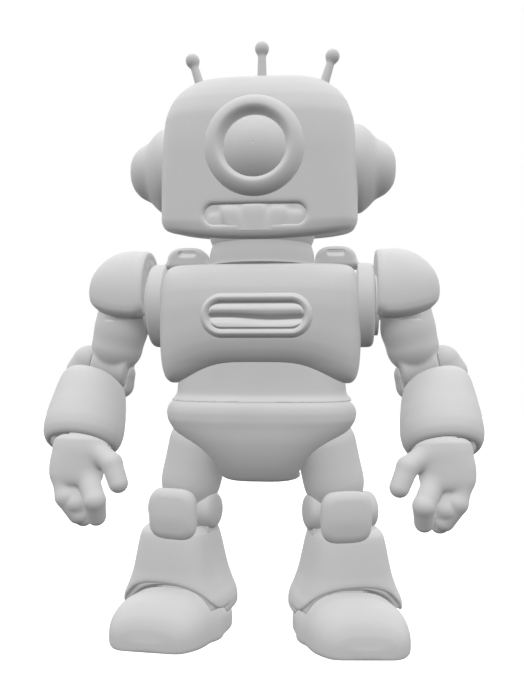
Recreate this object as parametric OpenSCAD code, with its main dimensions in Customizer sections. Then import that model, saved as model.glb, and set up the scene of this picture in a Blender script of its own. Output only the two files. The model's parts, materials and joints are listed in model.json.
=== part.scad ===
// Humanoid robot kit: closed moulded shells on a servo-driven skeleton, standing on its two shoes.
// X runs to the viewer's right, the robot faces -Y, +Z is up and the floor is z = 0.

/* [Head] */
// Widest width of the head, just above the jaw
head_w = 113; // [110:1:116]
// Depth of the head, front to back
head_d = 93; // [91:1:95]
// Height of the crown above the floor
head_top = 327; // [326:1:328]
// Height of the head's underside above the floor
head_base = 228; // [227.5:0.5:228.5]
// Height of the eye above the floor
eye_z = 278; // [274:1:280]
// Height of the ears above the floor
ear_z = 275.5; // [273:0.5:278]
// Radius of the eye ring's crest
eye_r = 22; // [21:0.5:23]
// Height of the middle of the mouth above the floor
mouth_z = 242; // [241:0.5:243]
// Length of the mouth slot
mouth_w = 56; // [50:1:60]
// Height of the mouth slot
mouth_h = 12; // [11:0.5:12.5]

/* [Torso] */
// Widest width of the chest
chest_w = 117; // [115:1:119]
// Depth of the chest
chest_d = 77; // [75:1:79]
// Height of the chest's flat top above the floor
chest_top = 217.5; // [217:0.5:218]
// Height of the shoulder axis above the floor
shoulder_z = 195; // [194:0.5:196]
// Half the distance between the two shoulder pivots
shoulder_x = 84; // [84:0.5:85]
// Height of the middle of the chest grille
grille_z = 187.5; // [185:0.5:189]

/* [Arms] */
// Outward lean of the upper arm in degrees
arm_lean = 12; // [11:1:13]
// Distance from the shoulder pivot to the elbow axis
upper_arm_l = 38; // [38:1:39]
// Forward tilt of the forearm in degrees
forearm_tilt = 31; // [30:1:32]
// Length of the forearm barrel
cuff_l = 53; // [52:1:54]

/* [Legs] */
// Outward turn of each leg in degrees
leg_turn = 16; // [15:1:17]
// Half the distance between the two hip centres
hip_x = 38; // [38:0.5:39]
// Height of the hip axis above the floor
hip_z = 112; // [111.5:0.5:112.5]
// Height of the knee axis above the floor
knee_z = 74; // [73.5:0.5:74.5]
// Height of the ankle axis above the floor
ankle_z = 26; // [25.5:0.5:26.5]

/* [Fits] */
// Thickness of the moulded shells
wall = 2.4; // [2:0.1:2.6]
// Radial gap of a shaft that turns in its bore
running = 0.05; // [0.02:0.01:0.08]

/* [Hidden] */
LEFT = -1;
RIGHT = 1;
SHELL_GREY = "gainsboro";
eps = 0.01;
round_fn = 48;
// Moves the middle of the whole robot's depth to y = 0
mid_y = 4.1;

// Heights and depths that follow from the driving sizes
nod_z = head_base + 16;
neck_ball_r = 32.5;
head_h = head_top - head_base;
head_front_y = -head_d / 2;
ear_seat_x = head_w / 2 - 3;
eye_seat_y = head_front_y + 1.2;
mouth_floor_y = head_front_y + 4;
chest_base = 146;
belt_top = 139;
belt_base = 126;
pelvis_base = 92;
waist_gap = 0.5;
grille_seat_y = -chest_d / 2 + 1.6;
socket_r = 25;
socket_seat_x = chest_w / 2 - 2;
socket_face_x = 66;
shaft_r = 2.4;
pin_r = 2.5;
ball_r = 15;
limb_r = 14.2;
knuckle_r = 12.5;
thigh_r = 17.6;
knee_x = 46.5;
ankle_x = 49;
spigot_r = 8;
pauldron_x = 67.5;
pauldron_z = 189;
pauldron_size = [39, 27.5, 38];
// Rise of the pauldron's lower edge towards its outer end
pauldron_rise = 0.28;

// ---------- outlines and lofts ----------

// A horizontal superellipse ring with half width a, half depth b and squareness n
function ring(z, a, b, n = 3, cx = 0, cy = 0, count = 28) = [
    for (i = [0:count - 1])
        let (t = 360 * i / count, c = cos(t), s = sin(t))
        [cx + a * sign(c) * pow(abs(c), 2 / n), cy + b * sign(s) * pow(abs(s), 2 / n), z]
];

function reversed(list) = [for (i = [len(list) - 1:-1:0]) list[i]];

// Skins a list of rings. An open skin is capped at both ends; a closed one joins last to first.
module loft(rings, closed = false) {
    n = len(rings[0]);
    m = len(rings);
    sides = [
        for (j = [0:closed ? m - 1 : m - 2], i = [0:n - 1])
            let (k = (j + 1) % m, i2 = (i + 1) % n)
            each [[j * n + i, k * n + i2, j * n + i2], [j * n + i, k * n + i, k * n + i2]]
    ];
    caps = closed ? [] : [
        [for (i = [0:n - 1]) i],
        [for (i = [n - 1:-1:0]) (m - 1) * n + i]
    ];
    polyhedron([for (r = rings) each r], concat(sides, caps));
}

// Skins two equal grids of points, an outer and an inner one, into a thin panel with closed edges.
module panel(outer, inner) {
    rows = len(outer);
    cols = len(outer[0]);
    back = rows * cols;
    function at(j, i) = j * cols + i;
    skins = [
        for (j = [0:rows - 2], i = [0:cols - 2])
            let (a = at(j, i), b = at(j, i + 1), c = at(j + 1, i + 1), d = at(j + 1, i))
            each [[a, b, c], [a, c, d], [back + a, back + c, back + b], [back + a, back + d, back + c]]
    ];
    edge = concat(
        [for (i = [0:cols - 2]) at(0, i)],
        [for (j = [0:rows - 2]) at(j, cols - 1)],
        [for (i = [cols - 1:-1:1]) at(rows - 1, i)],
        [for (j = [rows - 1:-1:1]) at(j, 0)]
    );
    rim = [
        for (i = [0:len(edge) - 1])
            let (a = edge[i], b = edge[(i + 1) % len(edge)])
            each [[a, back + a, back + b], [a, back + b, b]]
    ];
    points = concat([for (r = outer) each r], [for (r = inner) each r]);
    polyhedron(points, concat(skins, rim));
}

// ---------- helpers ----------

// The whole robot's frame
module robot() translate([0, mid_y, 0]) children();

// Everything is drawn for the right side, where x is positive; the left side is its mirror image
module on_side(side) robot() mirror([side == LEFT ? 1 : 0, 0, 0]) children();

module along_x() rotate([0, 90, 0]) children();
module along_y() rotate([90, 0, 0]) children();

// A flat stadium, w long and h high, standing on its middle
module stadium(w, h) {
    square([w - h, h], center = true);
    for (s = [-1, 1]) translate([s * (w - h) / 2, 0]) circle(d = h, $fn = round_fn);
}

// A stadium plate from y = from back to y = to, in the XZ plane at height z
module stadium_y(w, h, z, from, to)
    translate([0, to, z]) along_y() linear_extrude(to - from) stadium(w, h);

// A round-ended finger bone from a to b
module bone(a, b, r) {
    v = b - a;
    l = norm(v);
    translate(a) {
        sphere(r, $fn = 32);
        rotate([0, acos(v.z / l), atan2(v.y, v.x)]) {
            cylinder(h = l, r = r, $fn = 32);
            translate([0, 0, l]) sphere(r, $fn = 32);
        }
    }
}

// A small geared servo whose output shaft ends at the origin and points along +Z
servo_case = [20, 9, 18];
servo_lug = [27, 9, 1.6];
servo_shaft_h = 3.6;
turret_r = 4.4;
turret_h = 2;
module servo(shaft_h = servo_shaft_h) {
    translate([0, 0, -shaft_h]) {
        cylinder(h = shaft_h, r = shaft_r, $fn = round_fn);
        translate([0, 0, -turret_h]) cylinder(h = turret_h + eps, r = turret_r, $fn = round_fn);
        translate([-5, -servo_case.y / 2, -turret_h - servo_case.z]) cube(servo_case);
        translate([-8.5, -servo_lug.y / 2, -turret_h - 6]) cube(servo_lug);
    }
}

// The same servo's pocket, larger by a little all round
module servo_pocket(gap = 0.3) translate([0, 0, -servo_shaft_h]) {
    grow = [2 * gap, 2 * gap, 2 * gap];
    translate([-5 - gap, -servo_case.y / 2 - gap, -turret_h - servo_case.z - gap]) cube(servo_case + grow);
    translate([-8.5 - gap, -servo_lug.y / 2 - gap, -turret_h - 6 - gap]) cube(servo_lug + grow);
    translate([0, 0, -turret_h - 1]) cylinder(h = 8, r = turret_r + gap, $fn = round_fn);
}

// ---------- head ----------

// Height up the head, then the share of its full width and depth there
head_profile = [
    [0, .12, .12], [0, .86, .86], [.02, .94, .94], [.05, .98, .98], [.11, 1, 1], [.30, 1, 1],
    [.50, .99, 1], [.70, .965, .97], [.80, .915, .90], [.86, .855, .82], [.90, .79, .745],
    [.94, .70, .65], [.97, .58, .52], [.99, .42, .36], [1, .25, .22]
];

// The underside bows up towards both sides and rises towards the back
jaw_bow = 5;
jaw_rise = 0.15;
function jaw_lift(x, y, share) =
    pow(1 - share, 6) * (jaw_bow * pow(2 * x / head_w, 2) + jaw_rise * (y + head_d / 2));

function head_rings(inset) = [
    for (p = head_profile)
        [for (q = ring(head_base + inset + p.x * (head_h - 2 * inset),
            head_w / 2 * p.y - inset, head_d / 2 * p.z - inset, 4.2)) q + [0, 0, jaw_lift(q.x, q.y, p.x)]]
];

// Outward lean of each antenna, and its foot measured from the crown
antenna_lean = [-17, 0, 17];
antenna_foot = [[-35.5, -5.5], [0, -0.5], [35.5, -5.5]];
antenna_h = 22.5;
antenna_tip_r = 4.2;
antenna_foot_r = 4.4;

module at_antenna(i)
    translate([antenna_foot[i].x, 0, head_top + antenna_foot[i].y])
        rotate([0, antenna_lean[i], 0]) children();

module head_shell() difference() {
    loft(head_rings(0));
    loft(head_rings(wall));
    translate([0, 0, nod_z]) sphere(neck_ball_r + 0.6, $fn = round_fn);
    translate([0, 0, head_base - 5]) cylinder(h = 9, r = neck_ball_r + 1.6, $fn = 64);
    for (s = [-1, 1]) translate([s * (ear_seat_x + 10), 0, ear_z])
        along_x() cylinder(h = 20, r = 26.2, center = true, $fn = round_fn);
    for (i = [0:2]) at_antenna(i) {
        cylinder(h = 10, r = antenna_foot_r + 0.1, $fn = round_fn);
        translate([0, 0, -8]) cylinder(h = 10, r = 1.6, $fn = round_fn);
    }
}

module head_front() color(SHELL_GREY) robot() difference() {
    intersection() {
        head_shell();
        translate([-100, -100, 200]) cube([200, 100, 200]);
    }
    translate([0, eye_seat_y, eye_z]) along_y() cylinder(h = 20, r = eye_r + 5, $fn = round_fn);
    translate([0, eye_seat_y + 10, eye_z]) along_y() cylinder(h = 20, r = eye_r - 3, $fn = round_fn);
    stadium_y(mouth_w, mouth_h, mouth_z, head_front_y - 5, head_front_y + 8);
    stadium_y(mouth_w + 3.4, mouth_h + 3.4, mouth_z, mouth_floor_y - 0.2, mouth_floor_y + 3);
}

module head_back() color(SHELL_GREY) robot() difference() {
    intersection() {
        head_shell();
        translate([-100, 0, 200]) cube([200, 100, 200]);
    }
    for (s = [-1, 1]) translate([s * 30, head_d / 2 + 4, 262]) along_y() cylinder(h = 8, r = 1.25, $fn = 24);
}

// The ring inside the jaw that the neck's ball turns in
socket_ring_z = nod_z - 5.5;
socket_gap = 3;
module neck_socket() color("dimgray") robot() difference() {
    translate([0, 0, socket_ring_z]) cylinder(h = 12, r = 37, $fn = 96);
    // trimmed below to the slope of the head's floor
    translate([0, -head_d / 2, head_base + wall + socket_gap]) rotate([atan(jaw_rise), 0, 0])
        translate([-50, -10, -30]) cube([100, 120, 30]);
    translate([0, 0, nod_z]) sphere(neck_ball_r + 0.6, $fn = 96);
    translate([0, 0, nod_z]) along_x() cylinder(h = 90, r = pin_r, center = true, $fn = round_fn);
}

module nod_pin() color("silver") robot()
    translate([0, 0, nod_z]) along_x() cylinder(h = 72, r = pin_r, center = true, $fn = round_fn);

module eye_bezel() color(SHELL_GREY) robot() translate([0, eye_seat_y, eye_z]) along_y() rotate_extrude($fn = 96) {
    translate([eye_r, 5.2]) circle(4.9, $fn = round_fn);
    translate([eye_r - 4.9, 0]) square([9.8, 5.2]);
}

// A domed lens with a flange that is trapped behind the bezel
lens_r = 16.6;
module eye_lens() color("whitesmoke") robot() translate([0, eye_seat_y, eye_z]) along_y() {
    intersection() {
        translate([0, 0, -14]) sphere(22, $fn = 96);
        translate([0, 0, -1]) cylinder(h = 12, r = lens_r, $fn = 96);
    }
    translate([0, 0, -2.2]) cylinder(h = 2.1, r = eye_r - 3.3, $fn = 96);
}

module eye_light() color("seagreen") robot() translate([0, eye_seat_y + 4, eye_z]) along_y() {
    cylinder(h = 1.5, r = 14, $fn = round_fn);
    for (a = [0:120:240]) rotate([0, 0, a]) translate([6, 0, -2]) cylinder(h = 2 + eps, r = 2, $fn = 24);
}

// Uneven blocks on a backing plate behind the mouth slot: left edge, width and height of each
tooth_h = 3.2;
teeth_blocks = [[-24, 9, 5], [-13.5, 12, 7], [0.5, 8.5, 6], [11, 7, 7.5], [20, 6, 4.5]];
module teeth() color(SHELL_GREY) robot() {
    stadium_y(mouth_w + 3, mouth_h + 3, mouth_z, mouth_floor_y, mouth_floor_y + 2);
    for (t = teeth_blocks)
        translate([t.x, mouth_floor_y - tooth_h, mouth_z - mouth_h / 2 + 1]) cube([t.y, tooth_h + eps, t[2]]);
}

module antennas() color(SHELL_GREY) robot() for (i = [0:2]) at_antenna(i) {
    cylinder(h = 2, r1 = antenna_foot_r, r2 = 3, $fn = round_fn);
    translate([0, 0, 2 - eps]) cylinder(h = antenna_h - 4, r1 = 3, r2 = 1.9, $fn = round_fn);
    translate([0, 0, antenna_h]) sphere(antenna_tip_r, $fn = round_fn);
    translate([0, 0, -6]) cylinder(h = 6 + eps, r = 1.55, $fn = 24);
}

// Radius against distance from the seat of an ear's two blunt steps
module ear(side) color(SHELL_GREY) robot() mirror([side == LEFT ? 1 : 0, 0, 0])
    translate([ear_seat_x, 0, ear_z]) along_x() rotate_extrude($fn = 96)
        polygon([[0, 0], [26, 0], [26, 4], [25, 6.5], [21.5, 10.5], [18.6, 13], [17.2, 15],
            [16.2, 17.2], [14.6, 20], [11.6, 23], [7.2, 25], [0, 25.7]]);
module ear_left() ear(LEFT);
module ear_right() ear(RIGHT);

module screw_y(h, r = 1.15) {
    along_y() {
        translate([0, 0, -h]) cylinder(h = h + eps, r = r, $fn = 24);
        cylinder(h = 1.4, r = 2.1, $fn = 24);
    }
}

module head_screws() color("silver") robot() for (s = [-1, 1])
    translate([s * 30, head_d / 2 - 0.7, 262]) mirror([0, 1, 0]) screw_y(5);

// ---------- neck ----------

module neck_column() color(SHELL_GREY) robot() difference() {
    union() {
        translate([0, 0, chest_top + waist_gap]) rotate_extrude($fn = 96)
            polygon([[0, 0], [30, 0], [31, 1.4], [31.2, 4], [31, 8], [29.4, 12.5], [0, 12.5]]);
        intersection() {
            translate([0, 0, nod_z]) sphere(neck_ball_r, $fn = 96);
            translate([0, 0, nod_z - 14]) cylinder(h = 26, r = 40, $fn = round_fn);
        }
        translate([0, 0, chest_top - 9]) cylinder(h = 10, r = 10, $fn = round_fn);
    }
    translate([0, 0, chest_top + 3.5]) cylinder(h = 60, r = 24, $fn = round_fn);
    translate([0, 0, nod_z]) along_x() cylinder(h = 90, r = pin_r + running, center = true, $fn = round_fn);
    translate([0, 0, chest_top - 10]) cylinder(h = 8, r = shaft_r + running, $fn = round_fn);
}

// ---------- torso ----------

// Height above the chest's lower edge, half width and half depth
function chest_outline() = let (a = chest_w / 2, b = chest_d / 2, h = chest_top - chest_base) [
    [0, a - 7, b - 8.6], [3, a - 3.4, b - 7], [12, a - .8, b - 3.8], [26, a, b - .6],
    [44, a, b], [58, a - .6, b - .6], [66, a - 2, b - 2.2], [h - 1.6, a - 3.6, b - 4.2], [h, a - 5.5, b - 6.5]
];

chest_squareness = 4.4;

// A cup that is open below: the inner skin runs down, the outer one back up
function chest_cup() = let (
    n = chest_squareness,
    outer = [for (p = chest_outline()) ring(chest_base + p.x, p.y, p.z, n)],
    inner = [for (p = chest_outline()) if (p.x < 60) ring(chest_base + p.x, p.y - wall, p.z - wall, n)],
    roof = [ring(chest_top - wall - 3, chest_w / 2 - 2.5 - wall, chest_d / 2 - 3 - wall, n),
        ring(chest_top - wall, chest_w / 2 - 7 - wall, chest_d / 2 - 8 - wall, n)]
) concat(reversed(concat(inner, roof)), outer);

// The lower edge rises to this height in the middle, as an arch of this radius
arch_top = 160;
arch_r = 96;

module chest_shell() difference() {
    loft(chest_cup());
    translate([0, 0, arch_top - arch_r]) along_y() cylinder(h = 120, r = arch_r, center = true, $fn = 96);
    translate([0, 0, chest_top - 6]) cylinder(h = 12, r = 10 + running, $fn = round_fn);
    for (s = [-1, 1]) {
        translate([s * (socket_seat_x + 10), 0, shoulder_z])
            along_x() cylinder(h = 20, r = socket_r + 0.2, center = true, $fn = round_fn);
        translate([s * socket_seat_x, 0, shoulder_z])
            along_x() cylinder(h = 20, r = 12, center = true, $fn = round_fn);
    }
}

boss_places = [[-40, 208], [40, 208], [-40, 170], [40, 170]];
boss_h = chest_d / 2 - 3.9;
module chest_front() color(SHELL_GREY) robot() difference() {
    union() {
        intersection() {
            chest_shell();
            translate([-100, -100, 100]) cube([200, 100, 200]);
        }
        for (p = boss_places) translate([p.x, 0, p.y]) along_y() cylinder(h = boss_h, r = 3, $fn = 24);
    }
    stadium_y(64, 26, grille_z, -chest_d / 2 - 5, grille_seat_y);
    stadium_y(58, 20, grille_z, -chest_d / 2 - 5, 0);
    for (p = boss_places) translate([p.x, 1, p.y]) along_y() cylinder(h = 14, r = 1.2, $fn = 24);
}

module chest_back() color(SHELL_GREY) robot() difference() {
    union() {
        intersection() {
            chest_shell();
            translate([-100, 0, 100]) cube([200, 100, 200]);
        }
        for (p = boss_places) translate([p.x, boss_h, p.y]) along_y() cylinder(h = boss_h, r = 3, $fn = 24);
    }
    for (p = boss_places) {
        translate([p.x, chest_d / 2 + 1, p.y]) along_y() cylinder(h = 60, r = 1.25, $fn = 24);
        translate([p.x, chest_d / 2 + 5, p.y]) along_y() cylinder(h = 9, r = 2.2, $fn = 24);
    }
}

module chest_screws() color("silver") robot() for (p = boss_places)
    translate([p.x, chest_d / 2 - 3.9, p.y]) mirror([0, 1, 0]) screw_y(38);

// A raised rim with two louvre bars on a thin back
module chest_grille() color(SHELL_GREY) robot() {
    difference() {
        stadium_y(63, 25, grille_z, -chest_d / 2 - 3, grille_seat_y - eps);
        stadium_y(53, 15.4, grille_z, -chest_d / 2 - 5, grille_seat_y - 1.4);
    }
    for (s = [-1, 1]) stadium_y(51, 6, grille_z + s * 3.9, -chest_d / 2 - 1.6, grille_seat_y - 1.4 + eps);
}

// Arched loops on the chest's top, one beside each side of the neck
loop_x = 44;
loop_size = [23, 18, 11];
module shoulder_loops() color(SHELL_GREY) robot() for (s = [-1, 1])
    translate([s * loop_x, loop_size.y / 2, chest_top]) along_y() linear_extrude(loop_size.y) difference() {
        polygon([[-11.5, 0], [11.5, 0], [9.5, 5], [6.5, 9], [3, 10.8], [-3, 10.8], [-6.5, 9], [-9.5, 5]]);
        translate([-5.5, 3]) square([11, 3.4]);
    }

module arm_socket_rings() color(SHELL_GREY) robot() for (s = [-1, 1]) mirror([s < 0 ? 1 : 0, 0, 0])
    translate([socket_seat_x, 0, shoulder_z]) along_x() rotate_extrude($fn = 96)
        let (h = socket_face_x - socket_seat_x)
        polygon([[6 + running, 0], [socket_r, 0], [socket_r, h - 2], [socket_r - .6, h - .6],
            [socket_r - 2, h], [6 + running, h]]);

// Lower body cover that tucks up into the chest
function belly_outline() = [[0, 51, 29.5], [2.5, 51.5, 29.8], [6.5, 49.6, 27.8], [12, 48.5, 27], [20, 46, 25]];
module belly_shell() color(SHELL_GREY) robot() {
    z0 = belt_top + waist_gap;
    difference() {
        union() {
            loft([for (p = belly_outline()) ring(z0 + p.x, p.y, p.z, 3)]);
            translate([0, 0, belt_base - 6]) cylinder(h = z0 - belt_base + 6 + eps, r = 12 - running, $fn = round_fn);
        }
        translate([0, 0, z0 + wall]) loft([for (p = belly_outline()) ring(p.x * .72, p.y - 6, p.z - 5, 3)]);
        translate([0, 0, belt_base - 9]) cylinder(h = 8, r = shaft_r + running, $fn = round_fn);
    }
}

// Two servos that swing the arms and one that turns the neck
torso_servo_x = 53;
module torso_servos() color("darkslategray") robot() {
    for (s = [-1, 1]) mirror([s < 0 ? 1 : 0, 0, 0])
        translate([torso_servo_x, 0, shoulder_z]) along_x() servo();
    translate([0, 0, chest_top - 4]) rotate([0, 0, -90]) servo(5.5);
}

module control_board() color("darkgreen") robot() translate([0, 27, 180]) {
    difference() {
        cube([50, 1.6, 40], center = true);
        for (x = [-1, 1], z = [-1, 1]) translate([x * 21.5, 0, z * 16.5])
            along_y() cylinder(h = 4, r = 1.6, center = true, $fn = 24);
    }
    translate([0, -2.2, 4]) cube([12, 3, 12], center = true);
    translate([-14, -3.7, -12]) cube([14, 6, 8], center = true);
    translate([12, -2.7, -12]) cube([10, 4, 6], center = true);
}

cell_r = 7;
cell_l = 50;
module battery_pack() color("royalblue") robot() for (z = [168.5, 182.8])
    translate([0, 12.5, z]) along_x() cylinder(h = cell_l, r = cell_r, center = true, $fn = round_fn);

module speaker() color("dimgray") robot() translate([0, -20, grille_z]) along_y() rotate_extrude($fn = 64)
    polygon([[0, 0], [8, 0], [8, 4], [10, 6], [13.4, 6], [13.4, 9], [11, 9], [7, 6.5], [3, 6], [3, 7.5], [0, 8]]);

// ---------- pelvis ----------

// Height, half width and half depth
pelvis_outline = [
    [92, 17, 18], [94, 20.5, 21.5], [99, 24, 25], [104, 27, 27.5], [109, 31, 29.5], [114, 37.5, 31],
    [119, 46, 32.2], [122, 51, 32.8], [126, 54, 33]
];

// The leg's own frame: hip centre at the origin, turned outward, front still towards -Y
module at_leg(x, z) translate([x, 0, z]) rotate([0, 0, leg_turn]) children();

// The space a round limb of radius r sweeps as it swings about the hip, from back to front in degrees
hip_swing = [-31, 46];
function swing_down(a) = [0, -sin(a), -cos(a)];
function swing_normal(a) = [0, -cos(a), sin(a)];
function swept_outline(x, h, reach) = [
    for (p = concat(
        [reach * swing_down(hip_swing[0]) - h * swing_normal(hip_swing[0])],
        [for (a = [hip_swing[0]:7:hip_swing[1]]) reach * swing_down(a)],
        [reach * swing_down(hip_swing[1]) + h * swing_normal(hip_swing[1])],
        [for (a = [hip_swing[1]:(hip_swing[0] + 180 - hip_swing[1]) / 8:hip_swing[0] + 180.1]) h * swing_normal(a)]
    )) p + [x, 0, 0]
];
module hip_clearance(r = thigh_r + 0.9, reach = 60) at_leg(hip_x, hip_z)
    loft([for (t = [-84:14:84]) swept_outline(-r * sin(t), r * cos(t), reach)]);

module pelvis_shell() color(SHELL_GREY) robot() difference() {
    loft([for (p = pelvis_outline) ring(p.x, p.y, p.z, 3, 0, 0, 32)]);
    loft([for (p = pelvis_outline) if (p.x > 95) ring(p.x - (p.x > 125 ? wall : 0), p.y - 5, p.z - wall, 3, 0, 0, 32)]);
    translate([0, 0, belt_base - 6]) cylinder(h = 12, r = 12, $fn = round_fn);
    for (s = [0, 1]) mirror([s, 0, 0]) {
        hip_clearance();
        hip_servo_place() translate([0, 0, servo_shaft_h - hip_shaft_h]) servo_pocket();
    }
}

belt_outline = [[0, -4, -3.4], [1.4, -1.4, -1], [4.5, 0, 0], [8.5, 0, 0], [11.6, -1.6, -1.4], [13, -4.6, -4]];
module belt_ring() color(SHELL_GREY) robot() {
    outer = [for (p = belt_outline) ring(belt_base + p.x, 56 + p.y, 34 + p.z, 3, 0, 0, 32)];
    inner = [for (z = [belt_top, belt_base]) ring(z, 42, 23, 3, 0, 0, 32)];
    difference() {
        loft(concat(outer, inner), closed = true);
        for (s = [0, 1]) mirror([s, 0, 0]) at_leg(hip_x, hip_z) sphere(thigh_r + 0.9, $fn = round_fn);
    }
}

// Lengths of the hip and waist servo shafts
hip_shaft_h = 5.6;
waist_shaft_h = 4.6;
module hip_servo_place() at_leg(hip_x, hip_z)
    translate([-thigh_r + 5.6, 0, 0]) along_x() rotate([0, 0, -90]) children();
module pelvis_servos() color("darkslategray") robot() {
    for (s = [0, 1]) mirror([s, 0, 0]) hip_servo_place() servo(hip_shaft_h);
    translate([0, 0, belt_base - 2]) rotate([0, 0, 90]) servo(waist_shaft_h);
}

// ---------- arms, drawn for the right side ----------

module at_shoulder() translate([shoulder_x, 0, shoulder_z]) children();
module at_arm() at_shoulder() rotate([6, -arm_lean, 0]) children();
module at_elbow() at_arm() translate([0, 0, -upper_arm_l]) children();

elbow = [
    shoulder_x + upper_arm_l * cos(6) * sin(arm_lean),
    upper_arm_l * sin(6),
    shoulder_z - upper_arm_l * cos(6) * cos(arm_lean)
];
cuff_x = 102;
cuff_lean = 2;
module at_cuff() translate([cuff_x, elbow.y, elbow.z - 1]) rotate([-forearm_tilt, -cuff_lean, 0]) children();
module at_wrist() at_cuff() translate([0, 0, -cuff_l]) children();

// Turns with the swing servo and carries the fork that the upper arm pivots in
hub_face_x = 68.5;
module shoulder_hub(side) color("dimgray") on_side(side) {
    fork_y = [12.9, 16.2];
    difference() {
        union() {
            translate([torso_servo_x - 2.6, 0, shoulder_z]) along_x()
                cylinder(h = hub_face_x - torso_servo_x + 2.6, r = 6, $fn = round_fn);
            translate([socket_face_x + 0.6, 0, shoulder_z]) along_x()
                cylinder(h = hub_face_x - socket_face_x - 0.6, r = 18, $fn = 64);
            for (s = [-1, 1]) translate([0, s * (fork_y[0] + fork_y[1]) / 2, shoulder_z]) {
                translate([shoulder_x, 0, 0]) along_y()
                    cylinder(h = fork_y[1] - fork_y[0], r = 7, center = true, $fn = round_fn);
                translate([(hub_face_x + shoulder_x) / 2 - 1, 0, 0])
                    cube([shoulder_x - hub_face_x + 2, fork_y[1] - fork_y[0], 14], center = true);
            }
            // the post that the pauldron is screwed to
            translate([hub_face_x - 1.2, -6, shoulder_z + 12]) cube([2.2, 12, 14]);
        }
        translate([torso_servo_x - 5, 0, shoulder_z]) along_x()
            cylinder(h = 5 + eps, r = shaft_r + running, $fn = round_fn);
        translate([shoulder_x, 0, shoulder_z]) along_y()
            cylinder(h = 60, r = pin_r, center = true, $fn = round_fn);
    }
}
module shoulder_hub_left() shoulder_hub(LEFT);
module shoulder_hub_right() shoulder_hub(RIGHT);

module shoulder_pin(side) color("silver") on_side(side)
    at_shoulder() along_y() cylinder(h = 33, r = pin_r, center = true, $fn = round_fn);
module shoulder_pin_left() shoulder_pin(LEFT);
module shoulder_pin_right() shoulder_pin(RIGHT);

// A quarter of a full-bodied ellipsoid, open below and on its inner side
function pauldron_grid(inset) = let (s = pauldron_size - [inset, inset, inset], e = 0.76) [
    for (u = [0, 14, 28, 41, 53, 64, 73, 81, 87, 89.6]) [
        for (a = [180:-15:0])
            let (out = s.x * pow(sin(u), e), lift = pauldron_rise * out)
            [pauldron_x + out,
                s.y * pow(cos(u), e) * sign(cos(a)) * pow(abs(cos(a)), 0.9),
                pauldron_z + lift + (s.z - lift) * pow(cos(u), e) * pow(max(sin(a), 0), 0.9)]
    ]
];
module pauldron(side) color(SHELL_GREY) on_side(side) panel(pauldron_grid(0), pauldron_grid(wall));
module pauldron_left() pauldron(LEFT);
module pauldron_right() pauldron(RIGHT);

module elbow_servo_place() at_elbow() translate([15.2, 0, 0]) along_x() rotate([0, 0, 180]) children();
// Inner and outer ends of the elbow knuckle along the elbow axis
knuckle_in = -10.2;
knuckle_out = 12;

module upper_arm(side) color(SHELL_GREY) on_side(side) difference() {
    union() {
        at_arm() translate([0, 0, -upper_arm_l + 13.5]) rotate_extrude($fn = 64)
            polygon([[0, 0], [12.4, 0], [13.6, 1.2], [limb_r, 3], [limb_r, 20], [0, 20]]);
        at_shoulder() sphere(ball_r, $fn = 64);
        at_elbow() {
            translate([knuckle_in, 0, 0]) along_x() cylinder(h = knuckle_out - knuckle_in, r = knuckle_r, $fn = 64);
            translate([knuckle_in, -6, 7]) cube([knuckle_out - knuckle_in, 15, 8]);
        }
    }
    at_shoulder() {
        for (s = [-1, 1]) translate([-20, s * 22.5 - 10, -9]) cube([40, 20, 40]);
        along_y() cylinder(h = 60, r = pin_r + running, center = true, $fn = round_fn);
    }
    elbow_servo_place() servo_pocket();
    at_elbow() translate([knuckle_in - 1, 0, 0]) along_x() cylinder(h = 2.6, r = 3 + running, $fn = round_fn);
    at_elbow() translate([0, 0, 16]) cylinder(h = 8, r = 9, $fn = round_fn);
}
module upper_arm_left() upper_arm(LEFT);
module upper_arm_right() upper_arm(RIGHT);

module elbow_servo(side) color("darkslategray") on_side(side) elbow_servo_place() servo();
module elbow_servo_left() elbow_servo(LEFT);
module elbow_servo_right() elbow_servo(RIGHT);

// Depth of the hollow in the barrel's lower end, which the hand comes out of
cuff_recess = 7;
// Radius of the forearm barrel against the distance below its top rim
cuff_outline = [[0, 17.8], [2, 19.3], [6, 20.6], [14, 21.6], [24, 22.8], [33, 23.8], [41, 24.1],
    [46, 23.2], [50, 21.2], [53, 18.2]];

// Two ears on the elbow axis and the ring that carries the forearm barrel
module elbow_collar(side) color("dimgray") on_side(side) {
    difference() {
        union() {
            at_elbow() translate([12.4, 0, 0]) along_x() rotate_extrude($fn = 64)
                polygon([[0, 0], [9.5, 0], [9.5, 6], [8.2, 9], [5, 11.2], [0, 12]]);
            at_elbow() translate([knuckle_in - 3.8, 0, 0]) along_x() cylinder(h = 3.4, r = 8.5, $fn = 64);
            at_elbow() translate([knuckle_in - 1, 0, 0]) along_x() cylinder(h = 2.4, r = 3, $fn = round_fn);
            at_elbow() translate([12.4, -4, -24]) cube([7, 8, 24]);
            at_elbow() translate([knuckle_in - 3.8, -4, -22]) cube([3.4, 8, 22]);
            at_cuff() translate([-2, 0, -22]) difference() {
                cylinder(h = 6, r = 16.6, $fn = 64);
                translate([0, 0, -1]) cylinder(h = 8, r = 13.6, $fn = 64);
            }
        }
        at_elbow() along_x() cylinder(h = 16.4, r = shaft_r + running, $fn = round_fn);
    }
}
module elbow_collar_left() elbow_collar(LEFT);
module elbow_collar_right() elbow_collar(RIGHT);

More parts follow.
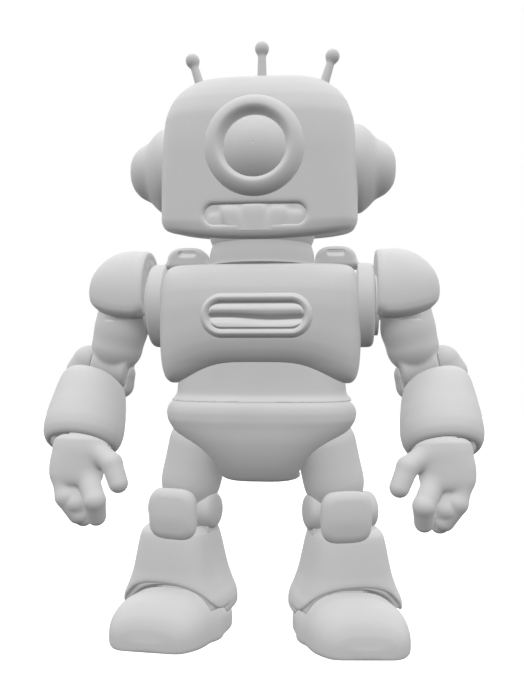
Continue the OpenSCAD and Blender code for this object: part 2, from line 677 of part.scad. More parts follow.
module forearm_cuff(side) color(SHELL_GREY) on_side(side) difference() {
    at_cuff() rotate([180, 0, 0]) rotate_extrude($fn = 96) polygon(concat(
        [for (p = cuff_outline) [p.y, p.x]],
        [[16, cuff_l], [17.6, cuff_l - 3], [17.6, cuff_l - cuff_recess], [spigot_r, cuff_l - cuff_recess],
            [spigot_r, cuff_l - cuff_recess - 3], [19, cuff_l - cuff_recess - 4], [20.8, 37], [20.4, 26],
            [19.6, 16], [18.6, 8], [16, 0]]));
    at_elbow() {
        translate([12, 0, 0]) along_x() cylinder(h = 14, r = 9.9, $fn = 64);
        translate([12, -4.3, -24.3]) cube([7.8, 8.6, 25]);
        translate([knuckle_in - 8, 0, 0]) along_x() cylinder(h = 7.8, r = 8.9, $fn = 64);
        translate([knuckle_in - 4.2, -4.3, -22.3]) cube([4.2, 8.6, 23]);
    }
    at_elbow() translate([-17, 0, 0]) along_x() cylinder(h = 17 + knuckle_out, r = knuckle_r + 0.8, $fn = 64);
}
module forearm_cuff_left() forearm_cuff(LEFT);
module forearm_cuff_right() forearm_cuff(RIGHT);

// Finger bones from knuckle to tip, in the hand's own frame below the wrist
palm_outline = [[1.5, 9, 7.5, 0], [-2.5, 12, 9.6, 0.8], [-8, 14.2, 11, 3.2], [-15, 14.6, 11, 4.8], [-21, 13, 10, 5.2]];
finger_bones = [
    [[13, -2, -19], [12, -4, -29], [6.5, 0, -37]],
    [[5, -1, -20], [3.5, -3, -31], [1.5, 4, -38]],
    [[-2, -4, -18], [-7, -8.5, -31], [-5, 0, -38.5]]
];
thumb_bones = [[-8, -3, -6], [-16.5, -6, -11], [-20.5, -8, -21]];
finger_r = 6;
// Bend of the hand back from the forearm's line
hand_droop = 21;
module hand(side) color(SHELL_GREY) on_side(side) at_wrist() {
    translate([0, 0, -2]) cylinder(h = cuff_recess + 5.5, r = spigot_r - running, $fn = round_fn);
    translate([0, 0, cuff_recess + 3.3]) cylinder(h = 2.4, r = 10.5, $fn = round_fn);
    rotate([hand_droop, 0, 0]) {
        loft([for (p = reversed(palm_outline)) ring(p.x, p.y, p.z, 2.6, p[3], 0, 24)]);
        for (f = finger_bones) {
            bone(f[0], f[1], finger_r);
            bone(f[1], f[2], finger_r - 0.3);
        }
        bone(thumb_bones[0], thumb_bones[1], finger_r);
        bone(thumb_bones[1], thumb_bones[2], finger_r - 0.4);
    }
}
module hand_left() hand(LEFT);
module hand_right() hand(RIGHT);

// ---------- legs, drawn for the right side ----------

leg_dx = (knee_x - hip_x) * cos(leg_turn);
thigh_lean = atan2(leg_dx, hip_z - knee_z);
module at_knee() at_leg(knee_x, knee_z) children();
module at_ankle() at_leg(ankle_x, ankle_z) children();

module knee_servo_place() at_knee() translate([14.2, 0, 0]) along_x() rotate([0, 0, 180]) children();

module thigh(side) color(SHELL_GREY) on_side(side) difference() {
    union() {
        at_leg(hip_x, hip_z) sphere(thigh_r, $fn = 64);
        at_leg(hip_x, hip_z) rotate([0, -thigh_lean, 0]) translate([0, 0, -26])
            cylinder(h = 26, r1 = 14.4, r2 = thigh_r, $fn = 64);
        at_knee() along_x() cylinder(h = 24, r = knuckle_r, center = true, $fn = 64);
        at_knee() translate([-12, -11, 6]) cube([24, 17, 9]);
    }
    at_leg(hip_x, hip_z) along_x() translate([0, 0, -30]) cylinder(h = 30, r = shaft_r + running, $fn = round_fn);
    knee_servo_place() servo_pocket();
    at_knee() along_x() translate([0, 0, -20]) cylinder(h = 10, r = pin_r + running, $fn = round_fn);
}
module thigh_left() thigh(LEFT);
module thigh_right() thigh(RIGHT);

module knee_servo(side) color("darkslategray") on_side(side) knee_servo_place() servo();
module knee_servo_left() knee_servo(LEFT);
module knee_servo_right() knee_servo(RIGHT);

// Knee ears above, ankle lugs below, on one plate across the top of the shin
shin_plate_z = knee_z - 17;
module shin_frame(side) color("dimgray") on_side(side) difference() {
    union() {
        at_leg(ankle_x, shin_plate_z) translate([-19, -9, 0]) cube([37, 18, 3]);
        for (s = [-1, 1]) at_knee() {
            translate([s * 15.4, 0, 0]) along_x() cylinder(h = 6, r = 8, center = true, $fn = 64);
            translate([s * 15.4, 0, -8]) cube([6, 14, 14], center = true);
        }
        for (s = [-1, 1]) at_ankle() {
            translate([s * 11, 0, 0]) along_x() cylinder(h = 3, r = 5.5, center = true, $fn = round_fn);
            translate([s * 11 - 1.5, -5, 0]) cube([3, 10, shin_plate_z - ankle_z + 1]);
        }
    }
    at_knee() along_x() cylinder(h = 60, r = shaft_r + running, center = true, $fn = round_fn);
    at_ankle() along_x() cylinder(h = 60, r = pin_r, center = true, $fn = round_fn);
}
module shin_frame_left() shin_frame(LEFT);
module shin_frame_right() shin_frame(RIGHT);

// The knee's idler stub and the ankle pin
module leg_pins(side) color("silver") on_side(side) {
    at_knee() translate([-18.4, 0, 0]) along_x() cylinder(h = 7.6, r = shaft_r + running, $fn = round_fn);
    at_ankle() along_x() cylinder(h = 25, r = pin_r, center = true, $fn = round_fn);
}
module leg_pins_left() leg_pins(LEFT);
module leg_pins_right() leg_pins(RIGHT);

function pad_ring(y, w, h) = [for (p = ring(0, w, h, 3.6, 0, 0, 24)) [p.x, y, p.y]];
// The pad sits a little inward of the knee's middle
pad_shift = -3;
module knee_pad(side) color(SHELL_GREY) on_side(side) at_knee() translate([pad_shift, 0, 0]) {
    loft([pad_ring(-19.4, 12.5, 12), pad_ring(-20.4, 14, 13.4), pad_ring(-23, 14.6, 14), pad_ring(-25.6, 13.2, 12.6),
        pad_ring(-27.2, 9.5, 9), pad_ring(-27.8, 5, 4.6)]);
    translate([-4, -20, -10.4]) cube([8, 4.4, 7]);
}
module knee_pad_left() knee_pad(LEFT);
module knee_pad_right() knee_pad(RIGHT);

// Height, half width, half depth and forward shift of the bell-shaped shin
shin_outline = [[17, 31.5, 25.5, 0], [19.5, 33.4, 27.2, 0], [24, 33, 27, 0], [30, 31, 26, 0], [38, 28, 24.5, 0],
    [47, 25, 23, -.5], [56, 23, 21.5, -1], [61, 21.5, 20, -1], [63.5, 19, 17.5, -1]];
module shin_shell(side) color(SHELL_GREY) on_side(side) at_leg(ankle_x, 0) difference() {
    outer = [for (p = shin_outline) ring(p.x, p.y, p.z, 3.4, 0, p[3], 28)];
    inner = [for (p = shin_outline) if (p.x > 20 || p.x < 19) ring(p.x, p.y - wall, p.z - wall, 3.4, 0, p[3], 28)];
    loft(concat(outer, reversed(inner)), closed = true);
    translate([0, -5, 0]) along_y() linear_extrude(40) polygon([for (p = ring(0, 31.5, 34.5, 2.6)) [p.x, p.y]]);
    // room for the knee pad and for the two ears that pass through the top
    translate([knee_x - ankle_x, 0, knee_z]) {
        translate([pad_shift - 15, -30, -14.4]) cube([30, 11.6, 16]);
        translate([-18.8, -9.4, -17.3]) cube([37.6, 18.8, 20]);
    }
}
module shin_shell_left() shin_shell(LEFT);
module shin_shell_right() shin_shell(RIGHT);

// Distance along the shoe, half width, height of the upper: a big toe cap, a waist and a low heel
shoe_h0 = 5;
shoe_outline = [[-43, 10, 8], [-42, 17, 14], [-38.5, 22.5, 22], [-32, 26.5, 28.5], [-24, 27.8, 31.4],
    [-17, 27.4, 31.4], [-11, 26, 27], [-5, 24.6, 18], [4, 24.4, 15], [14, 24.6, 15], [21, 23, 13.5], [26, 18.5, 11], [28.5, 10, 8]];
function shoe_section(y, a, h) = [for (i = [0:16]) let (t = 180 * i / 16)
    [a * sign(cos(t)) * pow(abs(cos(t)), 0.6), y, shoe_h0 + (h - shoe_h0) * pow(max(sin(t), 0), 0.8)]];
module shoe(side) color(SHELL_GREY) on_side(side) difference() {
    union() {
        at_leg(ankle_x, 0) loft([for (p = reversed(shoe_outline)) shoe_section(p.x, p.y, p.z)]);
        at_ankle() along_x() cylinder(h = 18.6, r = 7, center = true, $fn = round_fn);
        at_leg(ankle_x, 0) translate([-9.3, -7, 8]) cube([18.6, 14, ankle_z - 8]);
    }
    at_ankle() along_x() cylinder(h = 60, r = pin_r + running, center = true, $fn = round_fn);
}
module shoe_left() shoe(LEFT);
module shoe_right() shoe(RIGHT);

function sole_ring(z, inset) = [
    for (s = [1, -1], p = s > 0 ? shoe_outline : reversed(shoe_outline)) [s * (p.y - inset), p.x, z]
];
module sole(side) color("gray") on_side(side) at_leg(ankle_x, 0)
    loft([sole_ring(0, 1), sole_ring(1, 0), sole_ring(shoe_h0, 0)]);
module sole_left() sole(LEFT);
module sole_right() sole(RIGHT);

pelvis_shell();
belt_ring();
pelvis_servos();
belly_shell();
chest_front();
chest_back();
chest_grille();
shoulder_loops();
arm_socket_rings();
torso_servos();
control_board();
battery_pack();
speaker();
chest_screws();
neck_column();
head_front();
head_back();
neck_socket();
nod_pin();
eye_bezel();
eye_lens();
eye_light();
teeth();
antennas();
ear_left();
ear_right();
head_screws();
shoulder_hub_left();
shoulder_pin_left();
pauldron_left();
upper_arm_left();
elbow_servo_left();
elbow_collar_left();
forearm_cuff_left();
hand_left();
shoulder_hub_right();
shoulder_pin_right();
pauldron_right();
upper_arm_right();
elbow_servo_right();
elbow_collar_right();
forearm_cuff_right();
hand_right();
thigh_left();
knee_servo_left();
leg_pins_left();
knee_pad_left();
shin_frame_left();
shin_shell_left();
shoe_left();
sole_left();
thigh_right();
knee_servo_right();
leg_pins_right();
knee_pad_right();
shin_frame_right();
shin_shell_right();
shoe_right();
sole_right();
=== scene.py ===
"""Looks of the servo-driven humanoid robot kit: moulded shells, limbs, face, light and camera."""
import json
import math

import bpy
import numpy as np
import openvdb
from mathutils import Matrix, Vector


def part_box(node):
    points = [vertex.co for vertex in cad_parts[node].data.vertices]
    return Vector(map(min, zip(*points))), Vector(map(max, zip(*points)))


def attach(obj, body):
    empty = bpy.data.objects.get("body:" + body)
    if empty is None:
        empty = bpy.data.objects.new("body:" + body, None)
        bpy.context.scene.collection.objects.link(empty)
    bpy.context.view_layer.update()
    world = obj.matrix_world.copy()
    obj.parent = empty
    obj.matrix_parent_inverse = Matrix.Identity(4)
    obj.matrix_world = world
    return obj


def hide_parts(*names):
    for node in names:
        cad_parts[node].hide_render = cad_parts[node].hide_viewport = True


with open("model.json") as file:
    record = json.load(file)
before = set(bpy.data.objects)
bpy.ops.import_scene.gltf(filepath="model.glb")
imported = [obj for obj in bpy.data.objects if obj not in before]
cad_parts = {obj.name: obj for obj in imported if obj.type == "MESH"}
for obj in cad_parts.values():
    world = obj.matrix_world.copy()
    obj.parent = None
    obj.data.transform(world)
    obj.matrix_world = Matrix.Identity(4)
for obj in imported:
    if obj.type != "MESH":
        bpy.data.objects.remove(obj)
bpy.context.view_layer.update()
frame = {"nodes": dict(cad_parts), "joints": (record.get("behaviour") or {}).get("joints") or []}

# ---------- measures read from the frame, in millimetres; +x side where a part has two ----------
MM = 0.001


def box_of(*nodes):
    """Lowest and highest corner of some CAD nodes together, in millimetres."""
    corners = [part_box(node) for node in nodes]
    low = np.min([np.array(c[0]) for c in corners], axis=0) / MM
    high = np.max([np.array(c[1]) for c in corners], axis=0) / MM
    return low, high


def joint_place(name):
    """Where a joint's axis passes, in millimetres, with depth measured from the robot's middle."""
    joint = next(j for j in frame["joints"] if j["name"] == name)
    x, y, z = (value / MM for value in joint["pos_m"])
    return np.array([x, y - MID_Y, z])


neck_low, neck_high = box_of("neck_column")
MID_Y = (neck_low[1] + neck_high[1]) / 2

head_low, head_high = box_of("head_front", "head_back")
HEAD_TOP = head_high[2]
HEAD_A = (head_high[0] - head_low[0]) / 2
HEAD_B = (head_high[1] - head_low[1]) / 2
bezel_low, bezel_high = box_of("eye_bezel")
EYE_Z = (bezel_low[2] + bezel_high[2]) / 2
EYE_FRONT, EYE_SEAT = bezel_low[1] - MID_Y, bezel_high[1] - MID_Y
EYE_OUTER = (bezel_high[0] - bezel_low[0]) / 2
teeth_low, teeth_high = box_of("teeth")
MOUTH_Z = (teeth_low[2] + teeth_high[2]) / 2
MOUTH_FLOOR = teeth_high[1] - MID_Y - 2
ear_low, ear_high = box_of("ear_right")
EAR_SEAT, EAR_Z = ear_low[0], (ear_low[2] + ear_high[2]) / 2
NOD_Z = joint_place("neck_nod")[2]
HEAD_BASE = NOD_Z - 16

chest_low, chest_high = box_of("chest_front", "chest_back")
CHEST_A = chest_high[0]
CHEST_B = (chest_high[1] - chest_low[1]) / 2
CHEST_BASE, CHEST_TOP = chest_low[2], chest_high[2]
grille_low, grille_high = box_of("chest_grille")
GRILLE_Z = (grille_low[2] + grille_high[2]) / 2
SHOULDER = joint_place("shoulder_spread_right")
SOCKET_HIGH = box_of("arm_socket_rings")[1]
ELBOW = joint_place("elbow_right")
WRIST = joint_place("wrist_turn_right")
HIP = joint_place("hip_swing_right")
KNEE = joint_place("knee_right")
ANKLE = joint_place("ankle_right")

# ---------- measures the frame doesn't tell, in millimetres and degrees ----------
MOUTH_W, MOUTH_H = 57.0, 12.4
NECK_BALL_R = 32.5
WALL = 2.4
THIGH_R = 18.2
WAIST_SEAM_Z = 139.0
SCREW_HOLE_R = 2.5
HEAD_SCREW_X, HEAD_SCREW_Z = 30, 262
CHEST_SCREW_X, CHEST_SCREW_Z, CHEST_SCREW_RISE = 40, 189, 19
ARM_LEAN, ARM_BACK = 12, 6
FOREARM_TILT, CUFF_LEAN, CUFF_X, HAND_DROOP = 31, 2, 102.2, 21
LEG_TURN = 16


# ---------- frames of the arm and the leg ----------
def turned(place, *turns):
    """A frame at a place, turned by (degrees, axis) pairs, the last one applied first."""
    matrix = Matrix.Translation(Vector(place))
    for degrees, axis in turns:
        matrix = matrix @ Matrix.Rotation(math.radians(degrees), 4, axis)
    return matrix


AT_ELBOW = turned(ELBOW, (-ARM_LEAN, "Y"), (ARM_BACK, "X"))
AT_CUFF = turned((CUFF_X, ELBOW[1], ELBOW[2] - 1), (-CUFF_LEAN, "Y"), (-FOREARM_TILT, "X"))
AT_WRIST = turned(WRIST, (-CUFF_LEAN, "Y"), (-FOREARM_TILT, "X"))
AT_HAND = AT_WRIST @ Matrix.Rotation(math.radians(HAND_DROOP), 4, "X")
AT_HIP = turned(HIP, (LEG_TURN, "Z"))
AT_KNEE = turned(KNEE, (LEG_TURN, "Z"))
AT_FOOT = turned((ANKLE[0], ANKLE[1], 0), (LEG_TURN, "Z"))


# ---------- distance fields: negative inside a body, in millimetres ----------
def smooth_steps(stations, count=240):
    """Columns of the stations, resampled along the first one on a monotone cubic."""
    s = np.array(stations, float)
    t = s[:, 0]
    fine = np.linspace(t[0], t[-1], count)
    columns = [fine]
    for v in s.T[1:]:
        slope = np.diff(v) / np.diff(t)
        inner = slope[:-1] * slope[1:]
        mean = np.where(inner > 0, 2 * inner / np.where(inner > 0, slope[:-1] + slope[1:], 1), 0)
        m = np.concatenate([[slope[0]], mean, [slope[-1]]])
        i = np.clip(np.searchsorted(t, fine, side="right") - 1, 0, len(t) - 2)
        h = t[i + 1] - t[i]
        u = (fine - t[i]) / h
        columns.append(
            v[i] * (1 + 2 * u) * (1 - u) ** 2 + m[i] * h * u * (1 - u) ** 2
            + v[i + 1] * u * u * (3 - 2 * u) + m[i + 1] * h * u * u * (u - 1)
        )
    return columns


def join(a, b, k):
    """Union with a fillet of about k."""
    h = np.maximum(k - np.abs(a - b), 0) / k
    return np.minimum(a, b) - h * h * h * k / 6


def meet(a, b, k):
    """Intersection with an edge rounded by about k."""
    return -join(-a, -b, k)


def carve(a, b, k):
    """a without b, with an edge rounded by about k."""
    return -join(-a, b, k)


def superellipse(x, y, a, b, n):
    """About the distance to |x/a|^n + |y/b|^n = 1."""
    u = np.maximum(np.abs(x) / a, 1e-3)
    v = np.maximum(np.abs(y) / b, 1e-3)
    un, vn = u ** (n - 1), v ** (n - 1)
    r = (u * un + v * vn) ** (1 / n)
    return (r - 1) * r ** (n - 1) / np.hypot(un / a, vn / b)


def upright(stations, n, low=1.0, high=1.0, inset=0.0):
    """A body whose half width and half depth follow stations of (height, half width, half depth)."""
    z_at, a_at, b_at = smooth_steps(stations)
    lean = 1 / np.hypot(1, np.gradient((a_at + b_at) / 2, z_at))

    def field(x, y, z):
        a, b = np.interp(z, z_at, a_at), np.interp(z, z_at, b_at)
        side = superellipse(x, y, a, b, n) * np.interp(z, z_at, lean) + inset
        return meet(meet(side, z_at[0] - z, low), z - z_at[-1], high)

    return field


def slab(side, across, half, r):
    """A plate: side is the distance to its outline and across the distance from its middle plane."""
    p, q = side + r, np.abs(across) - (half - r)
    return np.hypot(np.maximum(p, 0), np.maximum(q, 0)) + np.minimum(np.maximum(p, q), 0) - r


def stadium(u, v, length, height):
    """Distance to a flat outline with round ends, lying along u."""
    return np.hypot(np.maximum(np.abs(u) - (length - height) / 2, 0), v) - height / 2


def limb(a, b, ra, rb):
    """A tapering round-ended rod."""
    a, b = np.array(a, float), np.array(b, float)
    d = b - a
    d_sq = float(d @ d)

    def field(x, y, z):
        t = np.clip(((x - a[0]) * d[0] + (y - a[1]) * d[1] + (z - a[2]) * d[2]) / d_sq, 0, 1)
        dx, dy, dz = x - a[0] - t * d[0], y - a[1] - t * d[1], z - a[2] - t * d[2]
        return np.sqrt(dx * dx + dy * dy + dz * dz) - (ra + (rb - ra) * t)

    return field


def ball(centre, r):
    cx, cy, cz = centre
    return lambda x, y, z: np.sqrt((x - cx) ** 2 + (y - cy) ** 2 + (z - cz) ** 2) - r


def moved(field, matrix):
    """A field drawn in its own frame, seen from the robot's frame."""
    inverse = matrix.inverted()
    m = [[float(v) for v in row] for row in inverse]

    def outer(x, y, z):
        return field(*(m[i][0] * x + m[i][1] * y + m[i][2] * z + m[i][3] for i in range(3)))

    return outer


def evened(field, e=0.25):
    """The field divided by its own slope, so that it measures distance near the surface."""

    def outer(x, y, z):
        f = field(x, y, z)
        gx = (field(x + e, y, z) - f) / e
        gy = (field(x, y + e, z) - f) / e
        gz = (field(x, y, z + e) - f) / e
        return f / np.sqrt(gx * gx + gy * gy + gz * gz + 0.04)

    return outer


# ---------- meshes ----------
COARSE = 1.0


def add_mesh(name, points, faces):
    """A smooth mesh object from points in the robot's frame in millimetres."""
    points = (np.asarray(points, float) + [0, MID_Y, 0]) * MM
    faces = np.asarray(faces)
    mesh = bpy.data.meshes.new(name)
    mesh.vertices.add(len(points))
    mesh.vertices.foreach_set("co", points.astype(np.float32).ravel())
    mesh.loops.add(faces.size)
    mesh.loops.foreach_set("vertex_index", faces.astype(np.int32).ravel())
    mesh.polygons.add(len(faces))
    mesh.polygons.foreach_set("loop_start", np.arange(0, faces.size, faces.shape[1], dtype=np.int32))
    mesh.polygons.foreach_set("use_smooth", np.ones(len(faces), bool))
    mesh.update(calc_edges=True)
    mesh.validate()
    obj = bpy.data.objects.new(name, mesh)
    bpy.context.scene.collection.objects.link(obj)
    return obj


def surface(field, low, high, step):
    """Points and quads on a field's zero surface, each point moved onto it."""
    step = step * COARSE
    low = np.array(low, float) - 2.5 * step
    axes = [np.arange(a, b + 3 * step, step, dtype=np.float32) for a, b in zip(low, np.array(high, float))]
    values = np.broadcast_to(field(*np.meshgrid(*axes, indexing="ij", sparse=True)), [len(a) for a in axes])
    grid = openvdb.FloatGrid(float(4 * step))
    grid.copyFromArray(np.ascontiguousarray(np.clip(values, -4 * step, 4 * step), dtype=np.float32))
    points, quads = grid.convertToQuads(isovalue=0)
    p = points.astype(float) * step + np.array([a[0] for a in axes])
    e = 0.2
    for _ in range(2):
        f = field(*p.T)
        slope = np.stack([
            (field(p[:, 0] + e, p[:, 1], p[:, 2]) - f) / e,
            (field(p[:, 0], p[:, 1] + e, p[:, 2]) - f) / e,
            (field(p[:, 0], p[:, 1], p[:, 2] + e) - f) / e,
        ], axis=1)
        shift = -slope * (f / np.maximum((slope ** 2).sum(1), 0.05))[:, None]
        p += np.clip(shift, -0.4 * step, 0.4 * step)
    return p, quads


def outward(points, faces):
    """The faces, turned if they enclose a negative volume."""
    a, b, c = (points[faces[:, i]] for i in (0, 1, 2))
    volume = np.einsum("ij,ij->i", a, np.cross(b, c)).sum()
    if faces.shape[1] == 4:
        d = points[faces[:, 3]]
        volume += np.einsum("ij,ij->i", a, np.cross(c, d)).sum()
    return faces if volume > 0 else faces[:, ::-1]


def spun(profile, axis, place, count=144):
    """Points and quads of a closed outline of (radius, distance), spun about an axis from a place."""
    rows = np.array(profile, float)
    rows[:, 0] = np.maximum(rows[:, 0], 0.02)
    t = np.linspace(0, 2 * math.pi, count, endpoint=False)
    r, h = rows[:, 0][:, None], rows[:, 1][:, None] + 0 * t
    u, v = r * np.cos(t), r * np.sin(t)
    xyz = {"X": (h, u, v), "-Y": (u, -h, v), "Z": (u, v, h)}[axis]
    points = np.stack([c.ravel() for c in xyz], axis=1) + np.array(place)
    i, j = np.meshgrid(np.arange(len(rows)), np.arange(count), indexing="ij")
    i2, j2 = (i + 1) % len(rows), (j + 1) % count
    quads = np.stack([(a * count + b).ravel() for a, b in ((i, j), (i2, j), (i2, j2), (i, j2))], axis=1)
    return points, quads


def softened(outline, rounds=3):
    """Corner-cut version of an open outline, its ends kept."""
    p = np.array(outline, float)
    for _ in range(rounds):
        a, b = p[:-1], p[1:]
        cut = np.stack([0.75 * a + 0.25 * b, 0.25 * a + 0.75 * b], axis=1).reshape(-1, 2)
        p = np.vstack([p[:1], cut, p[-1:]])
    return p


def piece(name, shape, body, slot, *nodes):
    """One visible piece from (points, faces), riding on a body and standing for CAD nodes."""
    points, faces = shape
    obj = add_mesh(name, points, outward(points, faces))
    obj.data.materials.append(MATERIALS[slot])
    if nodes:
        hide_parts(*nodes)
    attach(obj, body)
    obj.visible_diffuse = False
    obj.visible_shadow = False
    return obj


def pair(name, shape, body, slot, *nodes):
    """The piece on +x and its mirror image; names end in _right and _left, and the head is one body."""
    points, faces = shape
    for side, sign in (("right", 1), ("left", -1)):
        own_body = body if body == "head" else f"{body}_{side}"
        own_nodes = [f"{node}_{side}" for node in nodes]
        piece(f"{name}_{side}", (points * [sign, 1, 1], faces), own_body, slot, *own_nodes)


def mirrored(shape):
    """A shape together with its mirror image, as one shape."""
    points, quads = shape
    flipped = quads[:, ::-1].astype(int) + len(points)
    return np.vstack([points, points * [-1, 1, 1]]), np.vstack([quads, flipped])


def placed(shape, matrix):
    """A shape drawn in its own frame, put where the matrix says."""
    points, faces = shape
    m = np.array(matrix)
    return points @ m[:3, :3].T + m[:3, 3], faces


# ---------- materials ----------
def moulded(name, colour, rough=0.5, grain=2600, depth=0.05, cloud=0.05, edge=0.06, sheen=0.0, metallic=0.0):
    """Moulded plastic: fine grain, faint clouding, painted shade darkening the hollows and lighter worn
    edges; edge sets the strength of both.
    """
    material = bpy.data.materials.new(name)
    material.use_nodes = True
    tree = material.node_tree
    nodes, links = tree.nodes, tree.links
    shader = nodes["Principled BSDF"]
    shader.inputs["Metallic"].default_value = metallic
    shader.inputs["Specular IOR Level"].default_value = 0.35
    shader.inputs["Sheen Weight"].default_value = sheen
    where = nodes.new("ShaderNodeTexCoord").outputs["Object"]

    def noise(scale, detail):
        node = nodes.new("ShaderNodeTexNoise")
        node.inputs["Scale"].default_value = scale
        node.inputs["Detail"].default_value = detail
        links.new(where, node.inputs["Vector"])
        return node.outputs["Fac"]

    def ramp(source, stops, tint=(1, 1, 1)):
        node = nodes.new("ShaderNodeValToRGB")
        while len(node.color_ramp.elements) < len(stops):
            node.color_ramp.elements.new(0.5)
        for element, (at, value) in zip(node.color_ramp.elements, stops):
            element.position = at
            element.color = (*(c * value for c in tint), 1)
        links.new(source, node.inputs["Fac"])
        return node.outputs["Color"]

    clouds = ramp(noise(38, 4), [(0.3, 1 - cloud), (0.7, 1 + cloud * 0.6)], colour)
    # painted shade: concave hollows (low pointiness) are darkened; convex edges are lightened as worn plastic
    hollow_shade_and_edge_wear = ramp(nodes.new("ShaderNodeNewGeometry").outputs["Pointiness"],
                  [(0.42, 1 - 2.2 * edge), (0.49, 1), (0.515, 1), (0.6, 1 + edge)], colour)
    mix = nodes.new("ShaderNodeMix")
    mix.data_type = "RGBA"
    mix.blend_type = "MIX"
    mix.inputs[0].default_value = 0.5
    links.new(clouds, mix.inputs[6])
    links.new(hollow_shade_and_edge_wear, mix.inputs[7])
    links.new(mix.outputs[2], shader.inputs["Base Color"])
    links.new(ramp(noise(260, 3), [(0.3, rough - 0.06), (0.7, rough + 0.07)]), shader.inputs["Roughness"])
    bump = nodes.new("ShaderNodeBump")
    bump.inputs["Strength"].default_value = 0.35
    bump.inputs["Distance"].default_value = depth * MM
    links.new(noise(grain, 2), bump.inputs["Height"])
    links.new(bump.outputs["Normal"], shader.inputs["Normal"])
    return material


GREY = (0.60, 0.60, 0.60)
MATERIALS = {
    "shell_plastic": moulded("shell_plastic", GREY),
    "joint_plastic": moulded("joint_plastic", (0.56, 0.56, 0.56), rough=0.46, grain=3200),
    "lens_plastic": moulded("lens_plastic", (0.62, 0.62, 0.62), rough=0.34, grain=1500, depth=0.015,
                            cloud=0.02),
    "frame_plastic": moulded("frame_plastic", (0.2, 0.2, 0.21), rough=0.5),
    "servo_plastic": moulded("servo_plastic", (0.05, 0.06, 0.07), rough=0.42),
    "circuit_board": moulded("circuit_board", (0.03, 0.16, 0.06), rough=0.38, grain=900),
    "battery_wrap": moulded("battery_wrap", (0.05, 0.12, 0.4), rough=0.3, grain=600, depth=0.02),
    "speaker_cone": moulded("speaker_cone", (0.06, 0.06, 0.06), rough=0.7, grain=1800, depth=0.12),
    "steel": moulded("steel", (0.55, 0.55, 0.56), rough=0.3, grain=1200, depth=0.01, metallic=1.0),
    "sole_rubber": moulded("sole_rubber", (0.57, 0.57, 0.57), rough=0.72, grain=1400, depth=0.12),
}


# ---------- head ----------
# share of the head's height, then of its half width and half depth
HEAD_PROFILE = [
    (0, .88, .88), (.02, .945, .945), (.05, .98, .98), (.11, 1, 1), (.30, 1, 1), (.50, .99, 1),
    (.70, .965, .97), (.80, .915, .90), (.86, .855, .82), (.90, .79, .745), (.94, .70, .65),
    (.97, .58, .52), (.99, .42, .36), (1, .25, .22),
]


def head_field():
    height = HEAD_TOP - HEAD_BASE
    plain = upright([(HEAD_BASE + t * height, HEAD_A * a, HEAD_B * b) for t, a, b in HEAD_PROFILE],
                    4.2, low=3, high=3)

    def bowed(x, y, z):
        """The underside bows up towards both sides and rises towards the back."""
        most = 5 * (x / HEAD_A) ** 2 + 0.15 * (y + HEAD_B)
        lift = 0 * z
        for _ in range(3):
            share = np.clip((z - lift - HEAD_BASE) / height, 0, 1)
            lift = most * (1 - share) ** 6
        return plain(x, y, z - lift)

    body = evened(bowed)
    socket = ball((0, 0, NOD_Z), NECK_BALL_R + 0.7)

    def field(x, y, z):
        d = carve(body(x, y, z), socket(x, y, z), 1.0)
        neck_room = np.maximum(np.hypot(x, y) - NECK_BALL_R - 1.2, z - HEAD_BASE - 5)
        d = carve(d, neck_room, 1.0)
        lip = 2.0 * np.clip((MOUTH_Z - z) / MOUTH_H, 0, 1)
        opening = stadium(x, z - MOUTH_Z, MOUTH_W - 1.5, MOUTH_H - 1.5)
        mouth = np.maximum(opening, (y - MOUTH_FLOOR - 0.8 + lip) * 0.9)
        d = carve(d, mouth, 4.2)
        eye = np.maximum(np.hypot(x, z - EYE_Z) - (EYE_OUTER - 4), y - EYE_SEAT - 3)
        d = carve(d, eye, 1.0)
        for s in (-1, 1):
            hole = np.hypot(x - HEAD_SCREW_X * s, z - HEAD_SCREW_Z) - SCREW_HOLE_R
            d = carve(d, np.maximum(hole, HEAD_B - 3 - y), 0.8)
        return d

    return field


def make_head():
    shape = surface(head_field(), (-HEAD_A, -HEAD_B, HEAD_BASE), (HEAD_A, HEAD_B, HEAD_TOP), 0.85)
    piece("head_shell", shape, "head", "shell_plastic", "head_front", "head_back")

    ear = softened([(0, 25.7), (7.2, 25.3), (11.6, 23), (14.6, 20), (16.2, 17.2), (17.2, 15), (18.6, 13),
                    (21.5, 10.5), (25, 6.5), (26, 4), (26, 0)], 2)
    cone = spun(np.vstack([ear, [[0, 0]]]), "X", (EAR_SEAT, 0, EAR_Z))
    pair("ear_cone", cone, "head", "shell_plastic", "ear")

    flank, lip = 6.3, 3.5
    crest, reach, slope = EYE_OUTER - flank, EYE_SEAT - EYE_FRONT, 2 / 1.7
    foot = 0.35 * reach
    bezel = [(EYE_OUTER, 0)]
    for t in np.linspace(0, math.pi / 2, 16):
        bezel.append((crest + flank * math.cos(t) ** slope, foot + (reach - foot) * math.sin(t) ** slope))
    for t in np.linspace(0, math.pi / 2, 12)[1:]:
        bezel.append((crest - lip * math.sin(t), foot + (reach - foot) * math.cos(t)))
    bezel.append((crest - lip, 0))
    piece("eye_ring", spun(bezel, "-Y", (0, EYE_SEAT, EYE_Z)), "head", "shell_plastic", "eye_bezel")

    arc = np.linspace(0, math.radians(100), 34)
    dome = [(17.6 * math.sin(t), 12.4 * math.cos(t) - 2.4) for t in arc]
    dome += [(16.8, -5), (0, -5)]
    piece("eye_dome", spun(dome, "-Y", (0, EYE_SEAT, EYE_Z)), "head", "lens_plastic", "eye_lens")


